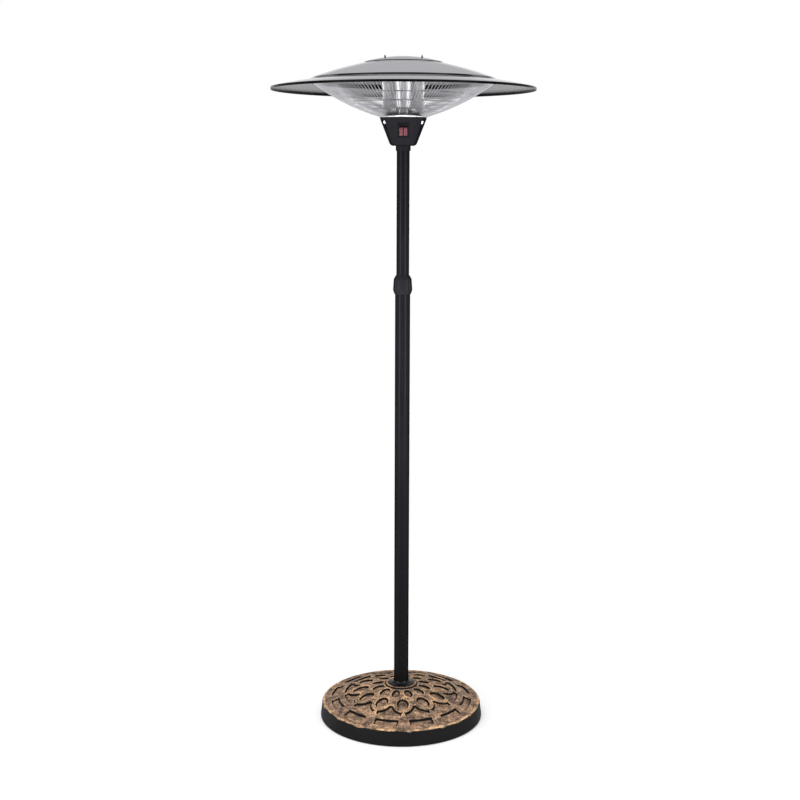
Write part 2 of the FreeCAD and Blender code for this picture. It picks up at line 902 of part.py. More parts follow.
def canopy_studs():
    tip = stud_seat_z + shade_sheet + stud_show
    foot = plate_z - stud_head_height
    stud = lathe((0, foot), (stud_head, foot), (stud_head, plate_z), (stud_radius, plate_z),
                 (stud_radius, tip - stud_point), (0.5, tip), (0, tip))
    return group(stud_spots(stud))


def shade():
    t = shade_sheet
    a = canopy_skin(0, 0)
    b = canopy_skin(t, t)
    lip = shade_rim_z - rim_lip
    sheet = lathe(a["apex"], (a["cap_via"], a["cap_end"]), a["dome_start"], (a["dome_via"], a["dome_end"]),
                  a["brim_start"], a["brim_end"], (shade_radius, lip), (shade_radius - t, lip), b["brim_end"],
                  b["brim_start"], b["dome_end"], (b["dome_via"], b["dome_start"]), b["cap_end"],
                  (b["cap_via"], b["apex"]))
    hole = rod(stud_radius + loose_gap, stud_seat_z - 5, stud_seat_z + 5)
    return sheet.cut(stud_spots(hole))


# Wire guard

def crown_top_z():
    return dome_edge_z - shade_sheet - seat_gap


def guard_points():
    start = Vector(hem_outer - hem_wall / 2, 0, hem_z + hem_lift)
    end = Vector(crown_inner + crown_wall / 2, 0, crown_top_z() - crown_height + crown_lift)
    along = end - start
    down = Vector(along.z, 0, -along.x).normalize()
    middle = (start + end) * 0.5 + down * guard_sag
    return Part.Arc(start, middle, end).toShape()


def faceted_wire(points, radius, sides):
    spans = [(b - a).normalize() for a, b in zip(points, points[1:])]
    side = Vector(0, 1, 0)
    rows = []
    for k, point in enumerate(points):
        span = spans[max(k - 1, 0)]
        mitre = (span + spans[min(k, len(spans) - 1)]).normalize()
        up = span.cross(side)
        row = []
        for j in range(sides):
            angle = 2 * math.pi * (j + 0.5) / sides
            corner = point + side * (radius * math.cos(angle)) + up * (radius * math.sin(angle))
            slip = (point - corner).dot(mitre) / span.dot(mitre)
            row.append(corner + span * slip)
        rows.append(row)
    outlines = [rows[0], rows[-1]]
    for low, high in zip(rows, rows[1:]):
        for j in range(sides):
            m = (j + 1) % sides
            outlines.append([low[j], low[m], high[m], high[j]])
    faces = [Part.Face(Part.makePolygon(outline + outline[:1])) for outline in outlines]
    return outward(Part.Solid(Part.Shell(faces)))


def guard_grille():
    points = guard_points().discretize(guard_spans + 1)
    wires = around(faceted_wire(points, guard_wire, guard_sides), guard_count)
    hem = tube(hem_outer, hem_inner, hem_z, hem_z + hem_height)
    crown = tube(crown_outer, crown_inner, crown_top_z() - crown_height, crown_top_z())
    return hem.multiFuse(wires + [crown]).Solids[0]


def guard_ring(radius):
    # A support ring lies on the upper side of the wires, at the height of their straight spans.
    points = guard_points().discretize(guard_spans + 1)
    for low, high in zip(points, points[1:]):
        if low.x <= radius <= high.x:
            share = (radius - low.x) / (high.x - low.x)
            here = low + (high - low) * share
            span = (high - low).normalize()
    up = Vector(-span.z, 0, span.x)
    centre = here + up * (guard_wire + guard_ring_gap + guard_ring_wire)
    return Part.makeTorus(centre.x, guard_ring_wire, Vector(0, 0, centre.z))


def build():
    nodes = {
        "base_casting": base_casting(),
        "base_feet": base_feet(),
        "base_flange": base_flange(),
        "base_bolt": base_bolt(),
        "base_washer": base_washer(),
        "tube_foot_plug": tube_foot_plug(),
        "lower_tube": lower_tube(),
        "clamp_sleeve": clamp_sleeve(),
        "lock_collar": lock_collar(),
        "guide_bush": guide_bush(),
        "upper_tube": upper_tube(),
        "pole_socket": pole_socket(),
        "socket_screws": socket_screws(),
        "socket_grub": socket_grub(),
        "switch_housing": switch_housing(),
        "housing_screws": housing_screws(),
        "housing_gasket": housing_gasket(),
        "trim_ring": trim_ring(),
        "switch_frame": switch_frame(),
        "rocker_pin": rocker_pin(),
        "rocker_left": rocker(-1),
        "rocker_right": rocker(1),
        "switch_tabs": switch_tabs(),
        "gland_body": gland_body(),
        "gland_locknut": gland_locknut(),
        "gland_cap": gland_cap(),
        "lamp_deck": lamp_deck(),
        "deck_grommet": deck_grommet(),
        "terminal_block": terminal_block(),
        "tilt_switch": tilt_switch(),
        "lead_bundle": lead_bundle(),
        "lower_lamp_holders": lamp_holders(deck_top_z, deck_top_z + 1),
        "upper_lamp_holders": lamp_holders(plate_z, plate_z - holder_floor - holder_socket),
        "column_top_plate": column_top_plate(),
        "canopy_spacers": canopy_spacers(),
        "canopy_studs": canopy_studs(),
        "shade": shade(),
        "guard_grille": guard_grille(),
    }
    for index in range(lamp_count):
        nodes["lamp_reflector_%d" % (index + 1)] = lamp_reflector(index)
        nodes["lamp_quartz_%d" % (index + 1)] = lamp_quartz(index)
        nodes["lamp_filament_%d" % (index + 1)] = lamp_filament(index)
        nodes["lamp_caps_%d" % (index + 1)] = lamp_caps(index)
    for name, radius in zip(("lower", "middle", "upper"), guard_ring_radii):
        nodes["guard_ring_%s" % name] = guard_ring(radius)
    return nodes


os.makedirs("parts", exist_ok=True)
for node_name, node_shape in build().items():
    node_shape.exportStep("parts/%s.step" % node_name)
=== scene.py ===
import bpy
import bmesh
import json
import math
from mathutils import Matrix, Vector, noise


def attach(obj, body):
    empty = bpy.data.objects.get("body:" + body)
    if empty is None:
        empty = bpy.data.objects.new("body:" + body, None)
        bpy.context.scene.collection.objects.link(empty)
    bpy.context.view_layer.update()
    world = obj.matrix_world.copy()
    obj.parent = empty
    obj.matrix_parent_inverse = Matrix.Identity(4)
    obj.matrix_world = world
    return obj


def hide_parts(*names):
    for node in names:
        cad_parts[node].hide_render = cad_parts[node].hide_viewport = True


# Umbrella patio heater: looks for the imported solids. Sizes in the dictionaries are millimetres.
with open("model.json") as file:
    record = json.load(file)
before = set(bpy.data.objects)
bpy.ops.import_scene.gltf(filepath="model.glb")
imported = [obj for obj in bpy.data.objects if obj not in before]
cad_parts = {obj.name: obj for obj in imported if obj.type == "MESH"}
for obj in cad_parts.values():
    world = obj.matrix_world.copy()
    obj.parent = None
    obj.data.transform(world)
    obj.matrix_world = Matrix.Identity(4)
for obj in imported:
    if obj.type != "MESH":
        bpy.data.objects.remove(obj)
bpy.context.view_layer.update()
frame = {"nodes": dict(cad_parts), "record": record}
mm = 0.001
fullTurn = 2 * math.pi
quarterTurn = math.pi / 2
coarseWeld = 0.00001
fineWeld = 0.000001
print("solids loaded:", len(frame["nodes"]))


# Camera

cameraView = {"place": (0.0, -3.31296, 1.41785), "pitch": 9.817, "roll": -0.204, "yaw": 0.134, "lens": 59.305,
              "sensor": 36}


def addCamera():
    deselectAll()
    angles = (90 - cameraView["pitch"], cameraView["roll"], cameraView["yaw"])
    turn = [math.radians(angle) for angle in angles]
    bpy.ops.object.camera_add(location=cameraView["place"], rotation=turn)
    camera = bpy.context.object
    camera.name = "heaterCamera"
    camera.data.sensor_width = cameraView["sensor"]
    camera.data.lens = cameraView["lens"]
    bpy.context.scene.camera = camera


# Modelling by hand, in code

def deselectAll():
    if bpy.context.mode != "OBJECT":
        bpy.ops.object.mode_set(mode="OBJECT")
    bpy.ops.object.select_all(action="DESELECT")


def editPiece(piece):
    deselectAll()
    piece.select_set(True)
    bpy.context.view_layer.objects.active = piece
    bpy.ops.object.mode_set(mode="EDIT")
    bpy.ops.mesh.select_mode(type="VERT")


def pickVerts(test):
    shape = bmesh.from_edit_mesh(bpy.context.object.data)
    for vert in shape.verts:
        vert.select = bool(test(vert.co))
    shape.select_flush_mode()
    bmesh.update_edit_mesh(bpy.context.object.data)


def pickFaces(test):
    bpy.ops.mesh.select_mode(type="FACE")
    shape = bmesh.from_edit_mesh(bpy.context.object.data)
    for face in shape.faces:
        face.select = bool(test(face))
    shape.select_flush_mode()
    bmesh.update_edit_mesh(bpy.context.object.data)


def weldAll(gap=coarseWeld):
    bpy.ops.mesh.select_mode(type="VERT")
    bpy.ops.mesh.select_all(action="SELECT")
    bpy.ops.mesh.remove_doubles(threshold=gap)
    bpy.ops.mesh.normals_make_consistent(inside=False)


def drawOutline(name, points, place=(0, 0, 0), turn=(0, 0, 0), upright=True):
    # A plane shrinks to one point, and the point is pulled along the outline.
    deselectAll()
    bpy.ops.mesh.primitive_plane_add(size=0.01, location=place, rotation=turn)
    piece = bpy.context.object
    piece.name = name
    bpy.ops.object.mode_set(mode="EDIT")
    bpy.ops.mesh.select_mode(type="VERT")
    bpy.ops.mesh.merge(type="CENTER")
    spots = [Vector((x * mm, 0, z * mm)) if upright else Vector((0, x * mm, z * mm)) for x, z in points]
    shape = bmesh.from_edit_mesh(piece.data)
    shape.verts.ensure_lookup_table()
    shape.verts[0].co = spots[0]
    bmesh.update_edit_mesh(piece.data)
    turned = piece.matrix_world.to_3x3()
    for here, there in zip(spots, spots[1:]):
        bpy.ops.mesh.extrude_vertices_move(TRANSFORM_OT_translate={"value": turned @ (there - here)})
    return piece


def spinOutline(name, points, steps, closed=True):
    piece = drawOutline(name, points + points[:1] if closed else points)
    bpy.ops.mesh.select_all(action="SELECT")
    bpy.ops.mesh.remove_doubles(threshold=fineWeld)
    bpy.ops.mesh.select_all(action="SELECT")
    bpy.ops.mesh.spin(steps=steps, angle=fullTurn, center=(0, 0, 0), axis=(0, 0, 1))
    weldAll()
    return piece


def copiesAround(count):
    bpy.ops.mesh.select_all(action="SELECT")
    part = fullTurn * (count - 1) / count
    bpy.ops.mesh.spin(steps=count - 1, dupli=True, angle=part, center=(0, 0, 0), axis=(0, 0, 1))
    bpy.ops.mesh.select_all(action="SELECT")


def softOutline(corners, steps=4):
    # Each corner is (radius, height, bend); a bend of 0 stays sharp.
    points = []
    for k, (r, z, bend) in enumerate(corners):
        here = Vector((r, z))
        if bend == 0:
            points.append((r, z))
            continue
        back = (Vector(corners[k - 1][:2]) - here).normalized()
        ahead = (Vector(corners[(k + 1) % len(corners)][:2]) - here).normalized()
        half = back.angle(ahead) / 2
        middle = here + (back + ahead).normalized() * bend / math.sin(half)
        first = here + back * bend / math.tan(half) - middle
        last = here + ahead * bend / math.tan(half) - middle
        for step in range(steps + 1):
            spoke = first.lerp(last, step / steps).normalized() * bend
            points.append((middle.x + spoke.x, middle.y + spoke.y))
    return points


def applyModifier(piece, kind, **settings):
    deselectAll()
    piece.select_set(True)
    bpy.context.view_layer.objects.active = piece
    tool = piece.modifiers.new(kind.lower(), kind)
    for name, value in settings.items():
        setattr(tool, name, value)
    bpy.ops.object.modifier_apply(modifier=tool.name)


def softenEdges(piece, width, segments=2, angle=35):
    applyModifier(piece, "BEVEL", width=width * mm, segments=segments, limit_method="ANGLE",
                  angle_limit=math.radians(angle), use_clamp_overlap=True)


def cutAway(piece, cutter):
    applyModifier(piece, "BOOLEAN", operation="DIFFERENCE", object=cutter, solver="EXACT")
    bpy.data.objects.remove(cutter)


def joinPieces(main, *others):
    deselectAll()
    for piece in (main,) + others:
        piece.select_set(True)
    bpy.context.view_layer.objects.active = main
    bpy.ops.object.join()
    return main


def finishPiece(piece, body, nodes, finishes, angle=35):
    deselectAll()
    piece.select_set(True)
    bpy.context.view_layer.objects.active = piece
    bpy.ops.object.transform_apply(location=True, rotation=True, scale=True)
    bpy.ops.object.shade_smooth_by_angle(angle=math.radians(angle))
    for k, finish in enumerate(finishes):
        if k < len(piece.data.materials):
            piece.data.materials[k] = finish
        else:
            piece.data.materials.append(finish)
    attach(piece, body)
    if nodes:
        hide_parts(*nodes)
    print("piece done:", piece.name, len(piece.data.polygons), "faces")
    return piece


# Finishes

def newFinish(name):
    finish = bpy.data.materials.new(name)
    finish.use_nodes = True
    return finish, finish.node_tree.nodes["Principled BSDF"]


def addNode(finish, kind, setup=None, **inputs):
    node = finish.node_tree.nodes.new(kind)
    for key, value in (setup or {}).items():
        setattr(node, key, value)
    for key, value in inputs.items():
        join(finish, value, node.inputs[key])
    return node


def join(finish, value, socket):
    if isinstance(value, bpy.types.NodeSocket):
        finish.node_tree.links.new(value, socket)
    else:
        socket.default_value = value


def objectSpace(finish, stretch=(1, 1, 1)):
    where = addNode(finish, "ShaderNodeTexCoord").outputs["Object"]
    return addNode(finish, "ShaderNodeMapping", None, Vector=where, Scale=stretch).outputs["Vector"]


def distanceOut(finish, stretch=(1, 1, 1)):
    far = addNode(finish, "ShaderNodeVectorMath", {"operation": "LENGTH"})
    join(finish, objectSpace(finish, stretch), far.inputs[0])
    return far.outputs["Value"]


def grain(finish, scale, detail=4.0, stretch=(1, 1, 1), rough=0.55):
    space = objectSpace(finish, stretch)
    return addNode(finish, "ShaderNodeTexNoise", None, Vector=space, Scale=scale, Detail=detail,
                   Roughness=rough).outputs["Fac"]


def spread(finish, value, low, high, floor=0.0, top=1.0):
    node = addNode(finish, "ShaderNodeMapRange", {"interpolation_type": "SMOOTHSTEP"}, Value=value)
    for key, number in (("From Min", low), ("From Max", high), ("To Min", floor), ("To Max", top)):
        node.inputs[key].default_value = number
    return node.outputs["Result"]


def blendColours(finish, share, first, second, how="MIX"):
    node = addNode(finish, "ShaderNodeMix", {"data_type": "RGBA", "blend_type": how})
    join(finish, share, node.inputs[0])
    join(finish, first if isinstance(first, bpy.types.NodeSocket) else (*first, 1.0), node.inputs[6])
    join(finish, second if isinstance(second, bpy.types.NodeSocket) else (*second, 1.0), node.inputs[7])
    return node.outputs[2]


def combine(finish, how, first, second):
    node = addNode(finish, "ShaderNodeMath", {"operation": how})
    join(finish, first, node.inputs[0])
    join(finish, second, node.inputs[1])
    return node.outputs[0]


def raisedBy(finish, height, strength, depth):
    bump = addNode(finish, "ShaderNodeBump", None, Height=height, Strength=strength, Distance=depth)
    return bump.outputs["Normal"]


def dress(finish, shader, **sockets):
    for key, value in sockets.items():
        join(finish, value, shader.inputs[key.replace("_", " ")])
    return finish


def spunSheet(name, light, dark, rough):
    # Spun sheet: a faint cloud of handling marks over the fine rings that the tool leaves.
    finish, shader = newFinish(name)
    rings = addNode(finish, "ShaderNodeTexWave", {"wave_type": "RINGS", "rings_direction": "Z"},
                    Vector=objectSpace(finish), Scale=60.0, Distortion=1.5, Detail=2.0).outputs["Fac"]
    clouds = grain(finish, 6.0, 4.0)
    shade = blendColours(finish, spread(finish, clouds, 0.3, 0.75), dark, light)
    level = combine(finish, "ADD", spread(finish, clouds, 0.3, 0.75, rough, rough + 0.03),
                    combine(finish, "MULTIPLY", rings, 0.02))
    return dress(finish, shader, Base_Color=shade, Metallic=1.0, Roughness=level)


underLook = {"brimDark": (0.22, 0.217, 0.235), "brimLight": (0.26, 0.256, 0.275),
             "edge": (0.10, 0.098, 0.105), "edgeShadeStart": 0.285, "edgeShadeFull": 0.322,
             "dome": (0.58, 0.576, 0.595), "domeFull": 0.2235, "domeEnd": 0.2285, "domeMetal": 0.2}


def sheetUnder():
    # Under the sheet: brushed on the brim and darker towards its edge, grey and matt inside the dome. These
    # tones are painted: the brim is painted dark and darkest at its edge as painted shade, and the dome's
    # inside is painted lighter as painted light.
    u = underLook
    finish, shader = newFinish("canopyUnder")
    radius = distanceOut(finish, (1, 1, 0))
    clouds = grain(finish, 6.0, 4.0)
    tint = blendColours(finish, spread(finish, clouds, 0.3, 0.75), u["brimDark"], u["brimLight"])
    tint = blendColours(finish, spread(finish, radius, u["edgeShadeStart"], u["edgeShadeFull"]), tint, u["edge"])
    tint = blendColours(finish, spread(finish, radius, u["domeEnd"], u["domeFull"]), tint, u["dome"])
    metal = spread(finish, radius, u["domeFull"], u["domeEnd"], u["domeMetal"], 1.0)
    return dress(finish, shader, Base_Color=tint, Metallic=metal,
                 Roughness=spread(finish, clouds, 0.3, 0.75, 0.24, 0.30))


def plainMetal(name, light, dark, rough, roughSpread, scale):
    finish, shader = newFinish(name)
    clouds = grain(finish, scale, 5.0)
    fine = grain(finish, scale * 14, 2.0)
    tint = blendColours(finish, spread(finish, clouds, 0.3, 0.7), dark, light)
    level = spread(finish, clouds, 0.25, 0.8, rough, rough + roughSpread)
    return dress(finish, shader, Base_Color=tint, Metallic=1.0, Roughness=level,
                 Normal=raisedBy(finish, fine, 0.05, 0.0003))


mirrorLook = {"dark": (0.90, 0.895, 0.92), "light": (0.97, 0.965, 0.985), "seamShade": (0.17, 0.168, 0.178),
              "seamShadeEnd": 0.013, "seamShadeFull": 0.005, "metal": 0.05, "dimples": 330.0}


def mirrorSheet(name):
    # Bright anodised sheet: pale and satin, with small dimples, and painted shade that darkens the seams
    # between the troughs.
    m = mirrorLook
    finish, shader = newFinish(name)
    cells = addNode(finish, "ShaderNodeTexVoronoi", {"feature": "SMOOTH_F1"}, Vector=objectSpace(finish),
                    Scale=m["dimples"]).outputs["Distance"]
    clouds = grain(finish, 22.0, 4.0)
    tint = blendColours(finish, spread(finish, clouds, 0.35, 0.7), m["dark"], m["light"])
    axes = addNode(finish, "ShaderNodeSeparateXYZ", None, Vector=objectSpace(finish)).outputs
    offX = combine(finish, "ABSOLUTE", axes["X"], 0.0)
    offY = combine(finish, "ABSOLUTE", axes["Y"], 0.0)
    seamShade = spread(finish, combine(finish, "MINIMUM", offX, offY), m["seamShadeEnd"], m["seamShadeFull"])
    tint = blendColours(finish, seamShade, tint, m["seamShade"])
    return dress(finish, shader, Base_Color=tint, Metallic=m["metal"],
                 Roughness=spread(finish, clouds, 0.3, 0.7, 0.24, 0.34),
                 Normal=raisedBy(finish, cells, 0.15, 0.0006))


def blackCoat(name, colour, rough, peel, fleck, gloss=0.5, edgeGloss=0.0):
    # Paint or moulded plastic: a fine peel, uneven dust, a few pale flecks, less gloss where it turns away.
    finish, shader = newFinish(name)
    peelGrain = grain(finish, peel, 3.0)
    dust = grain(finish, 14.0, 6.0, (1, 1, 0.35))
    specks = spread(finish, grain(finish, 190.0, 2.0), 0.70, 0.80)
    pale = tuple(min(1.0, c * 1.6 + 0.003) for c in colour)
    tint = blendColours(finish, spread(finish, dust, 0.4, 0.85, 0.0, 0.5), colour, pale)
    tint = blendColours(finish, combine(finish, "MULTIPLY", specks, fleck), tint, (0.32, 0.31, 0.30))
    level = spread(finish, dust, 0.3, 0.8, rough, rough + 0.1)
    turned = addNode(finish, "ShaderNodeLayerWeight", None, Blend=0.5).outputs["Facing"]
    return dress(finish, shader, Base_Color=tint, Roughness=level,
                 Specular_IOR_Level=spread(finish, turned, 0.28, 0.55, gloss, edgeGloss),
                 Normal=raisedBy(finish, peelGrain, 0.12, 0.0004))


def clearQuartz():
    finish, shader = newFinish("lampQuartz")
    haze = grain(finish, 90.0, 3.0, (1, 1, 0.2))
    return dress(finish, shader, Base_Color=(0.96, 0.97, 0.98, 1), Transmission_Weight=1.0, IOR=1.46,
                 Alpha=0.3, Roughness=spread(finish, haze, 0.4, 0.9, 0.01, 0.06))


def plainStuff(name, light, dark, rough, scale, depth):
    finish, shader = newFinish(name)
    clouds = grain(finish, scale, 5.0)
    fine = grain(finish, scale * 11, 2.0)
    tint = blendColours(finish, spread(finish, clouds, 0.3, 0.7), dark, light)
    level = spread(finish, clouds, 0.3, 0.8, rough, rough + 0.12)
    return dress(finish, shader, Base_Color=tint, Roughness=level, Normal=raisedBy(finish, fine, 0.15, depth))


def redLens():
    # Red moulding, clouded a little and glossy on top.
    finish, shader = newFinish("rockerRed")
    clouds = grain(finish, 160.0, 3.0)
    cloudy = spread(finish, clouds, 0.35, 0.7)
    tint = blendColours(finish, cloudy, (0.050, 0.0110, 0.015), (0.068, 0.017, 0.022))
    return dress(finish, shader, Base_Color=tint, Roughness=spread(finish, clouds, 0.3, 0.8, 0.18, 0.28),
                 Coat_Weight=0.4, Coat_Roughness=0.08, Subsurface_Weight=0.15,
                 Subsurface_Radius=(0.004, 0.001, 0.001), Normal=raisedBy(finish, clouds, 0.05, 0.0002))


bronzeLook = {"brown": (0.080, 0.051, 0.038), "bronze": (0.60, 0.398, 0.268), "rubbedAndGlint": (0.86, 0.575, 0.330),
              "tired": (0.58, 0.57, 0.58), "fresh": (1.36, 1.28, 1.16), "paint": (0.0105, 0.0100, 0.0105),
              "sunkPaintedShade": (0.0030, 0.0026, 0.0026), "metal": 0.2}


def castBronze():
    # Black casting with bronze brushed over what stands up. The layer laid on the mesh holds the bronze,
    # painted shade that darkens the paint in the recesses, and the lighter gold on edges and crests, which is
    # part rubbed gold and part painted highlight.
    look = bronzeLook
    finish, shader = newFinish("castBase")
    layer = addNode(finish, "ShaderNodeVertexColor", {"layer_name": "patinaShadeAndGlint"}).outputs["Color"]
    parts = addNode(finish, "ShaderNodeSeparateColor", None, Color=layer).outputs
    blotch = grain(finish, 17.0, 6.0, rough=0.62)
    streak = grain(finish, 75.0, 6.0, (1.0, 1.0, 2.5), 0.68)
    speckle = grain(finish, 310.0, 4.0, rough=0.6)
    sand = grain(finish, 900.0, 3.0)
    mottle = combine(finish, "ADD", combine(finish, "MULTIPLY", streak, 0.5),
                     combine(finish, "MULTIPLY", speckle, 0.5))
    warm = blendColours(finish, spread(finish, mottle, 0.40, 0.62), look["brown"], look["bronze"])
    # Lighter gold on edges and crests: rubbed gold, and in part a painted highlight.
    rubbedAndGlint = combine(finish, "MULTIPLY", parts["Blue"], spread(finish, mottle, 0.40, 0.56))
    bright = blendColours(finish, rubbedAndGlint, warm, look["rubbedAndGlint"])
    patches = spread(finish, grain(finish, 42.0, 4.0), 0.36, 0.64)
    worn = blendColours(finish, patches, look["tired"], look["fresh"])
    bright = blendColours(finish, 1.0, bright, worn, "MULTIPLY")
    smudge = spread(finish, blotch, 0.30, 0.46, 0.30, 1.0)
    cover = combine(finish, "MULTIPLY", smudge, parts["Red"])
    cover = combine(finish, "ADD", cover, combine(finish, "MULTIPLY", mottle, 0.12))
    cover = spread(finish, cover, 0.14, 0.80)
    # The black paint is darker in the recesses: painted shade.
    paint = blendColours(finish, parts["Green"], look["paint"], look["sunkPaintedShade"])
    tint = blendColours(finish, cover, paint, bright)
    level = combine(finish, "ADD", spread(finish, blotch, 0.3, 0.8, 0.46, 0.60),
                    combine(finish, "MULTIPLY", sand, 0.08))
    lumps = combine(finish, "ADD", combine(finish, "MULTIPLY", streak, 0.8), sand)
    return dress(finish, shader, Base_Color=tint, Metallic=combine(finish, "MULTIPLY", cover, look["metal"]),
                 Roughness=level, Specular_IOR_Level=spread(finish, cover, 0.0, 1.0, 0.10, 0.45),
                 Normal=raisedBy(finish, lumps, 0.35, 0.0006))


finishes = {
    "cast_base": castBronze(),
    "foot_rubber": plainStuff("footRubber", (0.03, 0.03, 0.03), (0.014, 0.014, 0.014), 0.7, 60.0, 0.0004),
    "black_tube": blackCoat("tubeCoat", (0.0030, 0.0030, 0.0044), 0.26, 640.0, 0.04, 0.13),
    "black_plastic": blackCoat("collarNylon", (0.0050, 0.0050, 0.0064), 0.34, 520.0, 0.03, 0.24),
    "zinc_steel": plainMetal("zincSteel", (0.86, 0.86, 0.88), (0.72, 0.72, 0.75), 0.30, 0.12, 60.0),
    # The trim ring is bright steel, painted black here: painted shade for the dark lines above and below the
    # guard's hem.
    "bright_steel": blackCoat("trimRingPaintedShade", (0.004, 0.004, 0.0048), 0.4, 500.0, 0.0, 0.15),
    "guard_steel": plainMetal("guardSteel", (0.71, 0.707, 0.74), (0.63, 0.627, 0.66), 0.16, 0.08, 45.0),
    "spun_aluminium": spunSheet("canopyTop", (0.885, 0.88, 0.95), (0.85, 0.845, 0.91), 0.10),
    "mirror_aluminium": mirrorSheet("lampMirror"),
    "die_cast_black": blackCoat("housingBlack", (0.0040, 0.0040, 0.0054), 0.44, 900.0, 0.02, 0.13),
    "red_rocker": redLens(),
    "quartz": clearQuartz(),
    "tungsten": plainMetal("tungstenWire", (0.36, 0.35, 0.34), (0.22, 0.21, 0.21), 0.35, 0.2, 300.0),
    "white_ceramic": plainStuff("whiteCeramic", (0.82, 0.81, 0.78), (0.70, 0.69, 0.66), 0.42, 70.0, 0.0003),
    "brass_tabs": plainMetal("brassTabs", (0.75, 0.56, 0.28), (0.58, 0.41, 0.19), 0.28, 0.15, 120.0),
    "seal_rubber": plainStuff("sealRubber", (0.028, 0.028, 0.028), (0.012, 0.012, 0.012), 0.62, 90.0, 0.0003),
    "lead_silicone": plainStuff("leadSilicone", (0.62, 0.60, 0.56), (0.50, 0.48, 0.45), 0.5, 110.0, 0.0002),
}
underSheet = sheetUnder()
# Near-black metal for the canopy's rim lip, a painted dark reflection: the lip is the same spun sheet.
rimPaintedReflection = plainMetal("rimPaintedReflection", (0.040, 0.040, 0.043), (0.028, 0.028, 0.030), 0.22, 0.08, 40.0)
# Near-black for the guard's crown band under the canopy: painted shade.
crownPaintedShade = blackCoat("crownPaintedShade", (0.004, 0.004, 0.0045), 0.5, 500.0, 0.0, 0.1)
hemBright = plainStuff("hemBright", (0.40, 0.40, 0.41), (0.36, 0.36, 0.37), 0.25, 30.0, 0.0001)
screwZinc = plainStuff("screwZinc", (0.64, 0.64, 0.65), (0.55, 0.55, 0.565), 0.35, 240.0, 0.0001)
studSteel = plainMetal("studSteel", (0.20, 0.20, 0.215), (0.13, 0.13, 0.14), 0.42, 0.12, 200.0)
flangeCoat = blackCoat("flangeCoat", (0.0045, 0.0045, 0.0060), 0.24, 640.0, 0.02, 0.3, 0.3)
ringSteel = plainMetal("ringSteel", (0.34, 0.337, 0.355), (0.26, 0.257, 0.27), 0.22, 0.10, 45.0)
switchBlack = blackCoat("switchBlack", (0.0020, 0.0020, 0.0024), 0.5, 520.0, 0.0, 0.15)
print("finishes mixed")


# Canopy

canopy = {"apex": 1696.0, "capRise": 14.3, "capEdge": 98.0, "capParts": 9, "capBend": 0.3, "domeEdge": 227.0,
          "domeTop": 1679.3, "domeLow": 1642.3, "domeBulge": 2.6, "domeParts": 16, "domeBend": 0.4,
          "brimTop": 1637.3, "brimBulge": 1.5, "brimParts": 6, "rim": 325.0, "rimTop": 1620.3, "rimBend": 0.8,
          "rimLoop": 1.6, "rimReflectionBand": 1.0, "lip": 5.6, "sheet": 1.2, "steps": 216}


def shortWall(radius, top, foot, bend):
    # A short wall between two bends, with loops of its own so that it stays flat.
    return [(radius, top, bend), (radius, top - bend * 1.5, 0), (radius, foot + bend * 1.5, 0),
            (radius, foot, bend)]


def bulgedRun(first, last, bulge, parts):
    # Points between two corners of the sheet, lifted most in the middle.
    points = []
    for k in range(1, parts):
        t = k / parts
        points.append((first[0] + (last[0] - first[0]) * t,
                       first[1] + (last[1] - first[1]) * t + bulge * 4 * t * (1 - t), 0))
    return points


def makeCanopy():
    c = canopy
    parts = c["capParts"]
    corners = [(c["capEdge"] * k / parts, c["apex"] - c["capRise"] * (k / parts) ** 2, 0)
               for k in range(parts)]
    corners += shortWall(c["capEdge"], c["apex"] - c["capRise"], c["domeTop"], c["capBend"])
    corners += bulgedRun((c["capEdge"], c["domeTop"]), (c["domeEdge"], c["domeLow"]), c["domeBulge"],
                         c["domeParts"])
    corners += shortWall(c["domeEdge"], c["domeLow"], c["brimTop"], c["domeBend"])
    corners += bulgedRun((c["domeEdge"], c["brimTop"]), (c["rim"], c["rimTop"]), c["brimBulge"],
                         c["brimParts"])
    corners += [(c["rim"], c["rimTop"], c["rimBend"]), (c["rim"], c["rimTop"] - c["rimLoop"], 0),
                (c["rim"], c["rimTop"] - c["lip"], 0)]
    piece = spinOutline("canopySheet", softOutline(corners), c["steps"], closed=False)
    pickFaces(lambda face: True)
    shape = bmesh.from_edit_mesh(piece.data)
    if max(shape.faces, key=lambda face: face.calc_area()).normal.z < 0:
        bpy.ops.mesh.flip_normals()
    layers = [finishes["spun_aluminium"], underSheet, rimPaintedReflection, rimPaintedReflection]
    for layer in layers:
        piece.data.materials.append(layer)
    # The outer band of the rim gets the near-black metal, a painted dark reflection.
    pickFaces(lambda face: face.calc_center_median().xy.length > (c["rim"] - c["rimReflectionBand"]) * mm)
    piece.active_material_index = 2
    bpy.ops.object.material_slot_assign()
    bpy.ops.object.mode_set(mode="OBJECT")
    applyModifier(piece, "SOLIDIFY", thickness=c["sheet"] * mm, offset=-1, material_offset=1,
                  use_even_offset=True)
    finishPiece(piece, "mast", ["shade"], layers, 30)


# Wire guard

guard = {"start": (57.45, 1551.9), "end": (224.25, 1633.0), "sag": 8.0, "wire": 0.9, "sides": 8, "bends": 7,
         "count": 144,
         "hem": [(56.4, 1549.5, 0), (57.6, 1549.5, 0.2), (57.66, 1549.9, 0), (58.42, 1553.2, 0),
                 (58.5, 1553.6, 0.2), (58.0, 1554.0, 0.2), (56.4, 1554.0, 0)],
         "crown": [(223.0, 1630.8, 0.3), (225.5, 1630.8, 0.8), (225.5, 1640.8, 0.8), (223.0, 1640.8, 0.3)]}


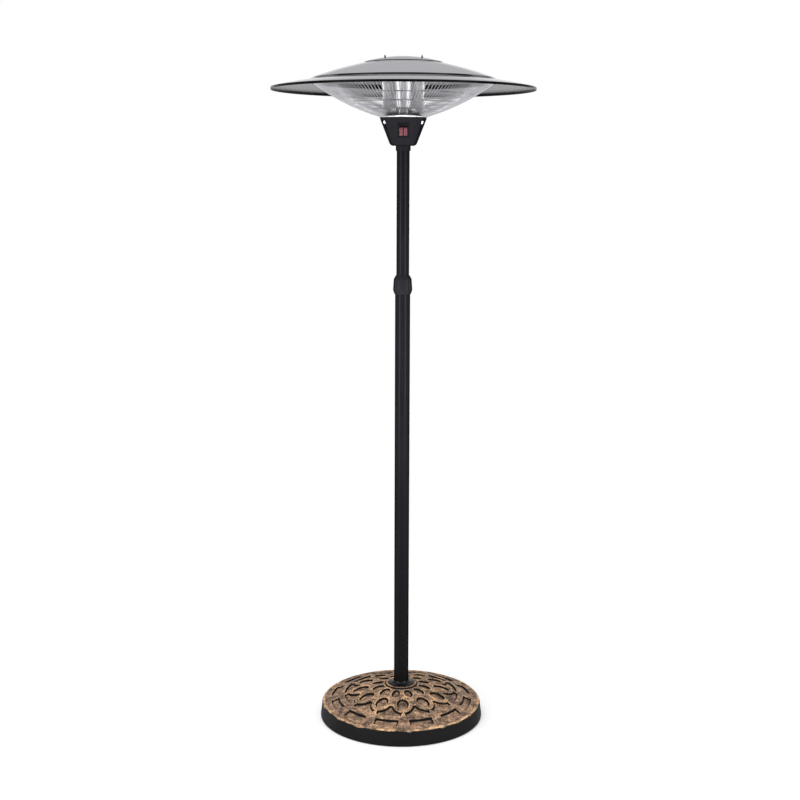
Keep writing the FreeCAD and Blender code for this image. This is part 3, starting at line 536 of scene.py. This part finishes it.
def makeGuard():
    g = guard
    start, end = Vector(g["start"]), Vector(g["end"])
    chord = (end - start).length
    reach = chord ** 2 / (8 * g["sag"]) + g["sag"] / 2
    along = (end - start) / chord
    middle = (start + end) / 2 + Vector((-along.y, along.x)) * (reach - g["sag"])
    sweep = 2 * math.asin(chord / 2 / reach)
    spoke = start - middle
    lean = math.atan2(spoke.y, spoke.x)
    deselectAll()
    bpy.ops.mesh.primitive_circle_add(vertices=g["sides"], radius=g["wire"] * mm, fill_type="NOTHING",
                                      location=(0, 0, 0))
    piece = bpy.context.object
    piece.name = "guardWires"
    bpy.ops.object.mode_set(mode="EDIT")
    bpy.ops.mesh.select_all(action="SELECT")
    bpy.ops.transform.rotate(value=lean, orient_axis="Y", center_override=(0, 0, 0))
    bpy.ops.transform.translate(value=(start.x * mm, 0, start.y * mm))
    bpy.ops.mesh.spin(steps=g["bends"], angle=sweep, center=(middle.x * mm, 0, middle.y * mm), axis=(0, 1, 0))
    bpy.ops.mesh.select_all(action="SELECT")
    bpy.ops.mesh.fill_holes(sides=0)
    weldAll()
    copiesAround(g["count"])
    layers = [finishes["guard_steel"], hemBright, crownPaintedShade]
    piece.data.materials.append(layers[0])
    bands = []
    for layer, corners in zip(layers[1:], (g["hem"], g["crown"])):
        bands.append(spinOutline("guardBand", softOutline(corners), g["count"]))
        bands[-1].data.materials.append(layer)
    joinPieces(piece, *bands)
    finishPiece(piece, "mast", ["guard_grille"], layers, 50)


# Cast base

base = {"around": 696, "count": 12, "turn": 2.4, "depth": 4.2, "wall": 1.8, "bottom": 2.0, "skirt": 0.5,
        "skirtRun": (7, 5, 0.8), "skirtBend": 0.6, "underLoops": (80, 150), "chamfer": 3, "sideParts": 7,
        "bore": 19.0, "boreTop": 26.0, "outer": 212.5, "sideTop": (208.5, 34.0), "lipCrest": (203.0, 41.1),
        "edge": (197.5, 39.5), "hub": (42.0, 83.5), "bulge": 3.12, "hubCrest": (38.0, 87.0),
        "seat": (34.0, 84.5), "socket": 19.2, "socketFloor": 51.5, "boltHole": 6.5,
        "panel": (165.0, 185.0, 30.0), "petal": (106.0, 20.5, 14.8), "border": 11.5,
        "spandrel": (113.0, 149.0, 32.06), "arch": (62.5, 16.0, 9.75), "groove": (193.0, 1.5, 0.9),
        "cup": 1.7, "cupRun": (2.0, 13.0), "ridge": 1.15, "ridgeOff": 2.3, "ridgeWide": 1.5,
        "ridgeInner": (46.0, 56.0), "ridgeOuter": (152.0, 140.0), "bareRise": (-1.2, -0.7),
        "bareFall": (4.2, 2.4), "hubBare": (2.6, 1.2), "crestBare": (2.6, 1.6), "rubGlintOff": 2.2, "rubGlintWide": 1.6,
        "rubGlintLoss": 0.75, "rubGlintCalm": (146.0, 154.0), "rubAndGlint": 0.9, "lipRubAndGlint": (1.5, 3.2), "hubRubAndGlint": 1.8,
        "fieldLow": 36, "roughLow": 30, "roughIn": 30, "sideLow": 4, "lumps": (0.055, 1.0, 2.1, 4),
        "lumpLift": 0.28, "pits": (0.30, 0.8, 2.0, 3), "pitLift": 0.16, "ragged": (0.045, 1.0, 2.2, 4),
        "raggedOut": 3.9, "raggedSwing": 1.5, "raggedSoft": 0.7, "lipSwing": 0.45,
        "sideLumps": (0.06, 1.0, 2.1, 4), "sideSwing": 0.35}


def arcThrough(first, via, last, steps):
    a, b, c = Vector(first), Vector(via), Vector(last)
    d = 2 * (a.x * (b.y - c.y) + b.x * (c.y - a.y) + c.x * (a.y - b.y))
    aa, bb, cc = a.length_squared, b.length_squared, c.length_squared
    middle = Vector(((aa * (b.y - c.y) + bb * (c.y - a.y) + cc * (a.y - b.y)) / d,
                     (aa * (c.x - b.x) + bb * (a.x - c.x) + cc * (b.x - a.x)) / d))
    radius = (a - middle).length
    points = []
    for k in range(steps + 1):
        t = k / steps
        chordPoint = a.lerp(b, t * 2) if t < 0.5 else b.lerp(c, t * 2 - 1)
        spoke = (chordPoint - middle).normalized() * radius
        points.append((middle.x + spoke.x, middle.y + spoke.y))
    return points


def ease(low, high, value):
    t = min(1.0, max(0.0, (value - low) / (high - low)))
    return t * t * (3 - 2 * t)


def bell(value, wide):
    return math.exp(-(value / wide) ** 2)


def castNoise(spot, size, gain, gap, layers):
    return noise.fractal(spot * size, gain, gap, layers)


def ovalGap(x, y, long, wide):
    near = math.hypot(x / long, y / wide)
    slope = math.hypot(x / long ** 2, y / wide ** 2)
    return near * (near - 1) / slope if slope > 1e-9 else -min(long, wide)


def baseRelief(radius, angle):
    # How far the surface lies from the plain field, how bare its wall is, how deep it is, how near an edge.
    b = base
    step = fullTurn / b["count"]
    start = math.radians(b["turn"] - 90)
    atPetal = (angle - start + step / 2) % step - step / 2
    atPanel = (angle - start) % step - step / 2
    px, py = radius * math.cos(atPetal) - b["petal"][0], radius * math.sin(atPetal)
    qx, qy = radius * math.cos(atPanel), abs(radius * math.sin(atPanel))
    eye = ovalGap(px, py, b["petal"][1], b["petal"][2])
    ring = ovalGap(px, py, b["petal"][1] + b["border"], b["petal"][2] + b["border"])
    panel = min(radius - b["panel"][0], b["panel"][1] - radius, b["panel"][2] - qy)
    spandrel = min(radius - b["spandrel"][0], b["spandrel"][1] - radius, b["spandrel"][2] - qy, ring)
    arch = -ovalGap(qx - b["arch"][0], qy, b["arch"][1], b["arch"][2])
    inside = max(-eye, panel, spandrel, arch)
    sunk = ease(-b["wall"] / 2, b["wall"] / 2, inside)
    drop = b["depth"] * sunk
    if eye < 0:
        drop -= b["cup"] * ease(*b["cupRun"], -eye)
    ridge = b["ridge"] * bell(eye - b["ridgeOff"], b["ridgeWide"])
    ridge += b["ridge"] * bell(ring + b["ridgeOff"], b["ridgeWide"])
    ridge *= ease(*b["ridgeInner"], radius) * ease(*b["ridgeOuter"], radius)
    drop -= ridge * (1 - sunk)
    drop += b["groove"][2] * bell(radius - b["groove"][0], b["groove"][1])
    bare = ease(*b["bareRise"], inside) * ease(*b["bareFall"], inside)
    bare = max(bare, ease(b["hub"][0] + b["hubBare"][0], b["hub"][0] + b["hubBare"][1], radius))
    # Near an edge: rubbed gold, and in part a painted highlight.
    edge = bell(inside + b["rubGlintOff"], b["rubGlintWide"]) * (1 - b["rubGlintLoss"] * ease(*b["rubGlintCalm"], radius))
    return -drop, bare, sunk, edge


def baseRings():
    # Outline from the counterbore under the base, round its side, over the top and down the tube socket.
    # Rings lie closer together at the walls of the relief.
    b = base
    start, low, bend = b["skirtRun"]
    side = Vector((b["outer"], b["bottom"] + b["chamfer"]))
    rings = [(b["bore"], b["boreTop"]), (b["bore"], b["bottom"])]
    rings += [(r, b["bottom"]) for r in b["underLoops"]]
    rings += [(b["outer"] - start, b["bottom"]), (b["outer"] - low, b["skirt"]),
              (b["outer"] - bend, b["skirt"] + b["skirtBend"]), tuple(side)]
    for k in range(1, b["sideParts"]):
        rings.append(tuple(side.lerp(Vector(b["sideTop"]), k / b["sideParts"])))
    rings += arcThrough(b["sideTop"], b["lipCrest"], b["edge"], 9)
    radii = [b["edge"][0] - 0.9 * k for k in range(1, 9)]
    radii += [b["panel"][1] + k for k in (1.3, 0.6, 0.0, -0.6, -1.3)]
    radii += [b["panel"][1] - 3.2 - 2.5 * k for k in range(0, 8)]
    radii += [b["panel"][0] + k for k in (1.3, 0.6, 0.0, -0.6, -1.3, -2.2, -3.4)]
    radii += [b["spandrel"][1] + k for k in (8.0, 6.0, 4.0, 2.6, 1.5, 0.7, 0.0, -0.7, -1.5, -2.6)]
    radii += [b["spandrel"][1] - 3.9 - 1.34 * k for k in range(0, 68)]
    radii += [b["hub"][0] + k for k in (8.6, 6.6, 4.6, 3.0, 1.6)]
    for r in radii:
        t = (b["edge"][0] - r) / (b["edge"][0] - b["hub"][0])
        rings.append((r, b["edge"][1] + (b["hub"][1] - b["edge"][1]) * t + b["bulge"] * 4 * t * (1 - t)))
    rings += arcThrough(b["hub"], b["hubCrest"], b["seat"], 8)
    rings += [(b["socket"], b["seat"][1]), (b["socket"], b["socketFloor"]), (b["boltHole"], b["socketFloor"]),
              (b["boltHole"], b["boreTop"]), (b["bore"], b["boreTop"])]
    return rings


def makeBase():
    b = base
    rings = baseRings()
    topStart, topEnd = b["edge"][0], b["hub"][0]
    deselectAll()
    bpy.ops.mesh.primitive_grid_add(x_subdivisions=b["around"], y_subdivisions=len(rings) - 1, size=2,
                                    location=(0, 0, 0))
    piece = bpy.context.object
    piece.name = "baseCasting"
    patinaShadeAndGlint = piece.data.attributes.new("patinaShadeAndGlint", "FLOAT_COLOR", "POINT")
    for k, vert in enumerate(piece.data.vertices):
        angle = round((vert.co.x + 1) / 2 * b["around"]) % b["around"] * fullTurn / b["around"]
        row = round((vert.co.y + 1) / 2 * (len(rings) - 1))
        r, z = rings[row]
        x, y = math.cos(angle), math.sin(angle)
        spot = Vector((x * r, y * r, z))
        bronze, sunk, edge = 0.0, 0.0, 0.0
        if topEnd <= r <= topStart and z > b["fieldLow"]:
            lift, bare, sunk, edge = baseRelief(r, angle)
            z += lift
            bronze = 1.0 - bare
        elif r > b["seat"][0] and z > b["sideTop"][1]:
            crest, (full, none) = b["hubCrest"][0], b["crestBare"]
            bronze = ease(crest + full, crest + none, r) if r < topEnd else 1.0
        if z > b["roughLow"] and r > b["roughIn"]:
            lumps = castNoise(spot, *b["lumps"])
            pits = castNoise(spot, *b["pits"])
            z += b["lumpLift"] * lumps + b["pitLift"] * pits
            if r > b["edge"][0] - 1:
                ragged = b["lipCrest"][0] + b["raggedOut"] + b["raggedSwing"] * castNoise(spot, *b["ragged"])
                bronze = ease(b["raggedSoft"], -b["raggedSoft"], r - ragged)
                # Rubbed gold along the lip's crest here and the hub's crest below, and in part a painted
                # highlight.
                edge = max(edge, b["rubAndGlint"] * bell(r - b["lipCrest"][0] - b["lipRubAndGlint"][0], b["lipRubAndGlint"][1]))
                r += b["lipSwing"] * lumps
            edge = max(edge, b["rubAndGlint"] * bell(r - b["hubCrest"][0], b["hubRubAndGlint"]))
        elif r > b["edge"][0] and z > b["sideLow"]:
            r += b["sideSwing"] * castNoise(spot, *b["sideLumps"])
        vert.co = Vector((x * r, y * r, z)) * mm
        # Red holds the bronze, green the recesses for painted shade, blue the edges for rubbed gold and
        # painted highlight.
        patinaShadeAndGlint.data[k].color = (bronze, sunk, edge, 1.0)
    editPiece(piece)
    weldAll()
    bpy.ops.object.mode_set(mode="OBJECT")
    finishPiece(piece, "stand", ["base_casting"], [finishes["cast_base"]], 60)


# Flange on the hub

flange = {"outline": [(31.7, 84.5, 0), (33.4, 84.5, 0.4), (33.4, 87.2, 1.0), (31.4, 88.0, 1.2),
                      (25.4, 89.0, 5.0), (22.0, 92.0, 3.0), (21.0, 95.5, 0.7), (19.2, 95.5, 0.4),
                      (19.2, 89.0, 0), (28.0, 86.6, 0), (31.7, 85.6, 0)], "steps": 96}


def makeFlange():
    piece = spinOutline("baseFlange", softOutline(flange["outline"]), flange["steps"])
    finishPiece(piece, "stand", ["base_flange"], [flangeCoat], 40)


# Twist collar

collar = {"outline": [(19.25, 1115.0, 0.3), (20.5, 1115.0, 0.5), (24.3, 1126.0, 1.6), (22.5, 1153.0, 2.2),
                      (17.6, 1162.0, 0.6), (16.3, 1162.0, 0.4), (16.3, 1155.9, 0), (17.9, 1155.8, 0),
                      (19.1, 1134.8, 0), (19.25, 1134.7, 0)],
          "flutes": 12, "columns": 10, "shares": (1.0, 0.55), "reach": 0.2, "deep": 1.5, "mean": 23.4,
          "skin": 19.8, "low": 1119.0, "high": 1158.5}


def makeCollar():
    c = collar
    piece = spinOutline("twistCollar", softOutline(c["outline"]), c["flutes"] * c["columns"])
    step = fullTurn / c["flutes"]
    column = step / c["columns"]
    for offset, share in enumerate(c["shares"]):
        def inFlute(co):
            turn = (math.atan2(co.y, co.x) - step / 2) % step
            turn = min(turn, step - turn)
            return (abs(turn - offset * column) < column * c["reach"] and co.xy.length > c["skin"] * mm
                    and c["low"] * mm < co.z < c["high"] * mm)
        pickVerts(inFlute)
        shrink = 1 - c["deep"] * share / c["mean"]
        bpy.ops.transform.resize(value=(shrink, shrink, 1), center_override=(0, 0, 0))
    weldAll()
    finishPiece(piece, "lock_collar", ["lock_collar"], [finishes["black_plastic"]], 40)


# Rocker switch

switch = {"place": (0.0, -46.543, 1517.0), "tilt": 111.5, "bezel": (26.0, 34.0, 2.4), "corner": 2.5,
          "cornerParts": 5, "inset": 2.2, "bodyDeep": 21.0, "frameSoft": 0.35, "well": (9.3, 23.6, 11.0),
          "wellOver": 1, "pitch": 5.3, "rocker": (8.6, 10.8), "halfParts": 6, "peak": 3.2, "valley": 1.1,
          "cheek": (0.2, 1.4), "belly": (0.45, 5.6), "rockerSoft": 0.45, "rest": 10.0}


def makeSwitchFrame():
    s = switch
    place = Vector(s["place"]) * mm
    turn = (math.radians(s["tilt"]), 0, 0)
    wide, tall, thick = s["bezel"]
    deselectAll()
    bpy.ops.mesh.primitive_cube_add(size=1, location=place, rotation=turn)
    piece = bpy.context.object
    piece.name = "switchFrame"
    bpy.ops.object.mode_set(mode="EDIT")
    shape = bmesh.from_edit_mesh(piece.data)
    for vert in shape.verts:
        vert.co = Vector((vert.co.x * wide, vert.co.y * tall, (vert.co.z + 0.5) * thick)) * mm
    bpy.ops.mesh.select_mode(type="EDGE")
    for edge in shape.edges:
        a, b = edge.verts
        edge.select = abs(a.co.z - b.co.z) > 0.001
    shape.select_flush_mode()
    bmesh.update_edit_mesh(piece.data)
    bpy.ops.mesh.bevel(offset=s["corner"] * mm, segments=s["cornerParts"], affect="EDGES")
    pickFaces(lambda face: face.normal.z < -0.9)
    bpy.ops.mesh.inset(thickness=s["inset"] * mm)
    inward = piece.matrix_world.to_3x3() @ Vector((0, 0, -s["bodyDeep"] * mm))
    bpy.ops.mesh.extrude_region_move(TRANSFORM_OT_translate={"value": inward})
    bpy.ops.object.mode_set(mode="OBJECT")
    for side in (-1, 1):
        deselectAll()
        bpy.ops.mesh.primitive_cube_add(size=1, location=place, rotation=turn)
        cutter = bpy.context.object
        w, h, d = s["well"]
        over = s["wellOver"]
        for vert in cutter.data.vertices:
            x, y, z = vert.co
            vert.co = Vector((side * s["pitch"] + x * w, y * h, thick + over + (z - 0.5) * (d + over))) * mm
        cutAway(piece, cutter)
    softenEdges(piece, s["frameSoft"], 3, 40)
    finishPiece(piece, "mast", ["switch_frame"], [switchBlack], 40)


def makeRocker(side, body):
    s = switch
    half = s["rocker"][1]
    top = s["bezel"][2]
    parts, rise = s["halfParts"], s["peak"] - s["valley"]
    points = [(half * k / parts, top + s["valley"] + rise * (k / parts) ** 2)
              for k in range(-parts, parts + 1)]
    inset, drop = s["cheek"]
    narrow, deep = s["belly"]
    points += [(half - inset, top - drop), (half * narrow, top - deep), (-half * narrow, top - deep),
               (-half + inset, top - drop)]
    place = Vector((side * s["pitch"], s["place"][1], s["place"][2])) * mm
    turn = (math.radians(s["tilt"] + s["rest"]), 0, 0)
    piece = drawOutline(body.replace("_", ""), points + points[:1], place, turn, upright=False)
    weldAll(fineWeld)
    bpy.ops.mesh.edge_face_add()
    across = piece.matrix_world.to_3x3() @ Vector((s["rocker"][0] * mm, 0, 0))
    bpy.ops.mesh.extrude_region_move(TRANSFORM_OT_translate={"value": across})
    bpy.ops.mesh.select_all(action="SELECT")
    bpy.ops.transform.translate(value=-across / 2)
    weldAll(fineWeld)
    bpy.ops.object.mode_set(mode="OBJECT")
    softenEdges(piece, s["rockerSoft"], 3, 50)
    finishPiece(piece, body, [body], [finishes["red_rocker"]], 50)


# Cross-head screws round the housing

screw = {"seat": 52.55, "height": 1538.0, "top": 2.4, "slot": (0.95, 4.6, 1.3), "slotFoot": 0.55, "sides": 32,
         "headReach": 5.0, "count": 3,
         "head": [(0, -9.0), (1.6, -9.0), (2.0, -8.4), (2.0, 0.0), (4.25, 0.0), (4.25, 0.7), (4.05, 1.35),
                  (3.5, 1.85), (2.6, 2.2), (1.4, 2.38), (0, 2.4)]}


def makeScrews():
    s = screw
    piece = spinOutline("housingScrews", s["head"], s["sides"], closed=False)
    bpy.ops.object.mode_set(mode="OBJECT")
    for turn in (0, 90):
        deselectAll()
        bpy.ops.mesh.primitive_cube_add(size=1, location=(0, 0, 0))
        cutter = bpy.context.object
        wide, long, deep = s["slot"]
        for vert in cutter.data.vertices:
            x, y = vert.co.x * wide, vert.co.y * long * (1.0 if vert.co.z > 0 else s["slotFoot"])
            if turn:
                x, y = -y, x
            vert.co = Vector((x, y, s["top"] - deep + (vert.co.z + 0.5) * (deep + 1))) * mm
        cutAway(piece, cutter)
    editPiece(piece)
    bpy.ops.mesh.select_all(action="SELECT")
    bpy.ops.transform.rotate(value=-quarterTurn, orient_axis="Y", center_override=(0, 0, 0))
    shape = bmesh.from_edit_mesh(piece.data)
    if max(v.co.x for v in shape.verts) > s["headReach"] * mm:
        bpy.ops.transform.rotate(value=math.pi, orient_axis="Y", center_override=(0, 0, 0))
    bpy.ops.transform.translate(value=(s["seat"] * mm, 0, s["height"] * mm))
    bpy.ops.transform.rotate(value=-quarterTurn, orient_axis="Z", center_override=(0, 0, 0))
    copiesAround(s["count"])
    finishPiece(piece, "mast", ["housing_screws"], [screwZinc], 35)


# Pointed studs through the canopy

stud = {"circle": 63.2, "foot": 1676.1, "plate": 1678.5, "threadLow": 1687.2, "threadHigh": 1692.0,
        "pitch": 0.8, "tip": 1696.05, "tipFlat": 0.4, "tipBend": (0.75, 0.35), "radius": 2.1, "runOut": 0.1,
        "root": 1.75, "head": 4.2, "headEdge": 0.4, "sides": 20, "count": 4}


def makeStuds():
    s = stud
    points = [(0, s["foot"]), (s["head"] - s["headEdge"], s["foot"]), (s["head"], s["foot"] + s["headEdge"]),
              (s["head"], s["plate"]), (s["radius"], s["plate"])]
    z = s["threadLow"]
    while z < s["threadHigh"]:
        points += [(s["radius"], z), (s["root"], z + s["pitch"] / 2)]
        z += s["pitch"]
    points += [(s["radius"] - s["runOut"], z), (s["tipBend"][0], s["tip"] - s["tipBend"][1]),
               (s["tipFlat"], s["tip"]), (0, s["tip"])]
    piece = spinOutline("canopyStuds", points, s["sides"], closed=False)
    bpy.ops.mesh.select_all(action="SELECT")
    place = s["circle"] * mm * math.sqrt(0.5)
    bpy.ops.transform.translate(value=(place, place, 0))
    copiesAround(s["count"])
    finishPiece(piece, "mast", ["canopy_studs"], [studSteel], 30)


# Coils in the lamps

coil = {"circle": 34.0, "low": 1573.0, "high": 1658.0, "radius": 2.2, "wire": 0.38, "sides": 6, "turns": 26,
        "steps": 12, "count": 4}


def makeCoils():
    c = coil
    for index in range(c["count"]):
        angle = math.radians(45 + 360 / c["count"] * index)
        spot = Vector((c["circle"] * mm * math.cos(angle), c["circle"] * mm * math.sin(angle), c["low"] * mm))
        deselectAll()
        bpy.ops.mesh.primitive_circle_add(vertices=c["sides"], radius=c["wire"] * mm, fill_type="NOTHING",
                                          location=spot)
        piece = bpy.context.object
        piece.name = "lampCoil%d" % (index + 1)
        bpy.ops.object.mode_set(mode="EDIT")
        bpy.ops.mesh.select_all(action="SELECT")
        bpy.ops.transform.rotate(value=quarterTurn, orient_axis="X", center_override=spot)
        bpy.ops.transform.translate(value=(c["radius"] * mm, 0, 0))
        bpy.ops.object.mode_set(mode="OBJECT")
        applyModifier(piece, "SCREW", angle=fullTurn, screw_offset=(c["high"] - c["low"]) * mm / c["turns"],
                      iterations=c["turns"], steps=c["steps"], render_steps=c["steps"], axis="Z",
                      use_normal_calculate=True)
        editPiece(piece)
        bpy.ops.mesh.select_all(action="SELECT")
        bpy.ops.mesh.fill_holes(sides=0)
        weldAll(fineWeld)
        finishPiece(piece, "mast", ["lamp_filament_%d" % (index + 1)], [finishes["tungsten"]], 60)


# Grip on the cable gland

glandCap = {"axis": 1512.0, "start": 54.3, "radius": 11.0, "straight": 7.6, "nose": 3, "long": 14.0,
            "bore": 8.05, "boreDeep": 9.0, "inlet": 4.2, "grips": 16, "deep": 0.8, "gripSkin": 9.9,
            "gripLow": 0.9, "gripHigh": 8.5, "reach": 5.0}


def makeGlandCap():
    g = glandCap
    corners = [(g["bore"], 0, 0.3), (g["radius"], 0, 0.6), (g["radius"], g["straight"], 0.9),
               (g["radius"] - g["nose"], g["long"], 1.4), (g["inlet"], g["long"], 0.6),
               (g["inlet"], g["boreDeep"], 0), (g["bore"], g["boreDeep"], 0)]
    piece = spinOutline("glandCap", softOutline(corners), g["grips"] * 4)
    step = fullTurn / g["grips"]
    pickVerts(lambda co: co.xy.length > g["gripSkin"] * mm and g["gripLow"] * mm < co.z < g["gripHigh"] * mm
              and (math.atan2(co.y, co.x) + step / 8) % step < step / 4)
    bpy.ops.transform.resize(value=(1 - g["deep"] / g["radius"],) * 2 + (1,), center_override=(0, 0, 0))
    weldAll()
    bpy.ops.transform.rotate(value=quarterTurn, orient_axis="X", center_override=(0, 0, 0))
    shape = bmesh.from_edit_mesh(piece.data)
    if max(v.co.y for v in shape.verts) < g["reach"] * mm:
        bpy.ops.transform.rotate(value=math.pi, orient_axis="X", center_override=(0, 0, 0))
    bpy.ops.transform.translate(value=(0, g["start"] * mm, g["axis"] * mm))
    finishPiece(piece, "mast", ["gland_cap"], [finishes["black_plastic"]], 40)


# Solids that keep their shape get their finish here

ownFinish = {"switch_housing": finishes["die_cast_black"], "guard_ring_lower": ringSteel,
             "guard_ring_middle": ringSteel, "guard_ring_upper": ringSteel}


def dressSolids():
    for entry in frame["record"]["subparts"]:
        node = frame["nodes"][entry["node"]]
        node.data.materials.clear()
        node.data.materials.append(ownFinish.get(entry["node"], finishes[entry["material_slot"]]))
    print("solids dressed")


# Floor, light and backdrop

studio = {"floorRadius": 1.5, "floorSides": 96, "floorFade": (0.55, 0.98), "floorColour": 0.80,
          "floorGlow": 0.33, "contactShadow": (0.2115, 0.2155), "ambient": 0.62, "back": 0.80, "room": 0.008,
          "ceiling": 0.47, "below": 0.80, "flank": 0.8, "roomTurn": (-0.15, 0.25),
          "ceilingBehind": (0.20, 0.36), "ceilingAll": (0.19, 0.32), "belowRun": (-0.02, -0.20),
          "flankRun": (0.45, 0.80), "flankTop": (0.28, 0.16), "flankFoot": (-0.01, 0.03)}


def makeFloor():
    deselectAll()
    bpy.ops.mesh.primitive_circle_add(vertices=studio["floorSides"], radius=studio["floorRadius"],
                                      fill_type="NGON", location=(0, 0, 0))
    floor = bpy.context.object
    floor.name = "studioFloor"
    finish = bpy.data.materials.new("studioFloor")
    finish.use_nodes = True
    nodes, links = finish.node_tree.nodes, finish.node_tree.links
    nodes.remove(nodes["Principled BSDF"])
    level = studio["floorColour"]
    paper = addNode(finish, "ShaderNodeBsdfDiffuse", None, Color=(level, level, level, 1))
    glow = addNode(finish, "ShaderNodeEmission", None, Color=(1, 1, 1, 1))
    light = addNode(finish, "ShaderNodeLightPath").outputs
    seen = addNode(finish, "ShaderNodeAddShader")
    links.new(paper.outputs[0], seen.inputs[0])
    links.new(glow.outputs[0], seen.inputs[1])
    mix = addNode(finish, "ShaderNodeMixShader")
    links.new(light["Is Camera Ray"], mix.inputs[0])
    links.new(paper.outputs[0], mix.inputs[1])
    links.new(seen.outputs[0], mix.inputs[2])
    far = distanceOut(finish)
    fade = spread(finish, far, *(studio["floorRadius"] * share for share in studio["floorFade"]))
    # The glow stops under the base, so the floor is darker where the base stands: a painted contact shadow.
    strength = spread(finish, far, *studio["contactShadow"], 0.0, studio["floorGlow"])
    links.new(strength, glow.inputs["Strength"])
    clear = addNode(finish, "ShaderNodeBsdfTransparent")
    edge = addNode(finish, "ShaderNodeMixShader")
    links.new(fade, edge.inputs[0])
    links.new(mix.outputs[0], edge.inputs[1])
    links.new(clear.outputs[0], edge.inputs[2])
    links.new(edge.outputs[0], nodes["Material Output"].inputs[0])
    floor.data.materials.append(finish)


def makeBackdrop():
    # Shiny surfaces mirror white behind and below, a grey ceiling, a dim room low on the camera's side and
    # dim flanks. Matt surfaces get one even level, and the camera sees white.
    world = bpy.data.worlds.new("studio")
    bpy.context.scene.world = world
    world.use_nodes = True
    nodes, links = world.node_tree.nodes, world.node_tree.links
    sky = nodes["Background"]
    where = addNode(world, "ShaderNodeTexCoord").outputs["Generated"]
    split = addNode(world, "ShaderNodeSeparateXYZ", None, Vector=where).outputs
    grey = {key: (studio[key],) * 3 for key in ("ambient", "back", "room", "ceiling", "below")}
    height = split["Z"]
    high = spread(world, height, *studio["ceilingBehind"])
    behind = blendColours(world, high, grey["back"], grey["ceiling"])
    level = blendColours(world, spread(world, split["Y"], *studio["roomTurn"]), grey["room"], behind)
    level = blendColours(world, spread(world, height, *studio["ceilingAll"]), level, grey["ceiling"])
    level = blendColours(world, spread(world, height, *studio["belowRun"]), level, grey["below"])
    aside = combine(world, "ABSOLUTE", split["X"], 0.0)
    side = spread(world, aside, *studio["flankRun"], 0.0, studio["flank"])
    for run in ("flankTop", "flankFoot"):
        side = combine(world, "MULTIPLY", side, spread(world, height, *studio[run]))
    level = blendColours(world, side, level, (0.0, 0.0, 0.0))
    light = addNode(world, "ShaderNodeLightPath").outputs
    colour = blendColours(world, light["Is Glossy Ray"], grey["ambient"], level)
    seen = combine(world, "MAXIMUM", light["Is Camera Ray"], light["Is Transmission Ray"])
    colour = blendColours(world, seen, colour, (1.0, 1.0, 1.0))
    links.new(colour, sky.inputs["Color"])


lamps = {"leftPanel": {"place": (-2.0, -1.9, 0.78), "aim": (0, 0, 0.75), "size": (0.9, 1.3), "watts": 20,
                       "mirrored": True},
         "rightPanel": {"place": (2.0, -1.9, 0.78), "aim": (0, 0, 0.75), "size": (0.9, 1.3), "watts": 20,
                        "mirrored": True},
         "topPanel": {"place": (-0.5, -0.9, 3.4), "aim": (0, 0, 0.6), "size": (2.2, 2.2), "watts": 46,
                      "mirrored": False},
         "headPanel": {"place": (0.0, -2.4, 0.55), "aim": (0, 0, 1.6), "size": (1.4, 0.5), "watts": 36,
                       "mirrored": False, "fan": 70}}


def makeLamps():
    for name, lamp in lamps.items():
        deselectAll()
        aim = (Vector(lamp["aim"]) - Vector(lamp["place"])).to_track_quat("-Z", "Y").to_euler()
        bpy.ops.object.light_add(type="AREA", location=lamp["place"], rotation=aim)
        light = bpy.context.object
        light.name = name
        light.data.shape = "RECTANGLE"
        light.data.size, light.data.size_y = lamp["size"]
        light.data.energy = lamp["watts"]
        light.visible_glossy = lamp["mirrored"]
        light.data.spread = math.radians(lamp.get("fan", 180))


addCamera()
makeCanopy()
makeGuard()
makeBase()
makeFlange()
makeCollar()
makeSwitchFrame()
makeRocker(-1, "rocker_left")
makeRocker(1, "rocker_right")
makeScrews()
makeStuds()
makeCoils()
makeGlandCap()
dressSolids()
makeFloor()
makeBackdrop()
makeLamps()
bpy.context.scene.view_settings.view_transform = "Standard"
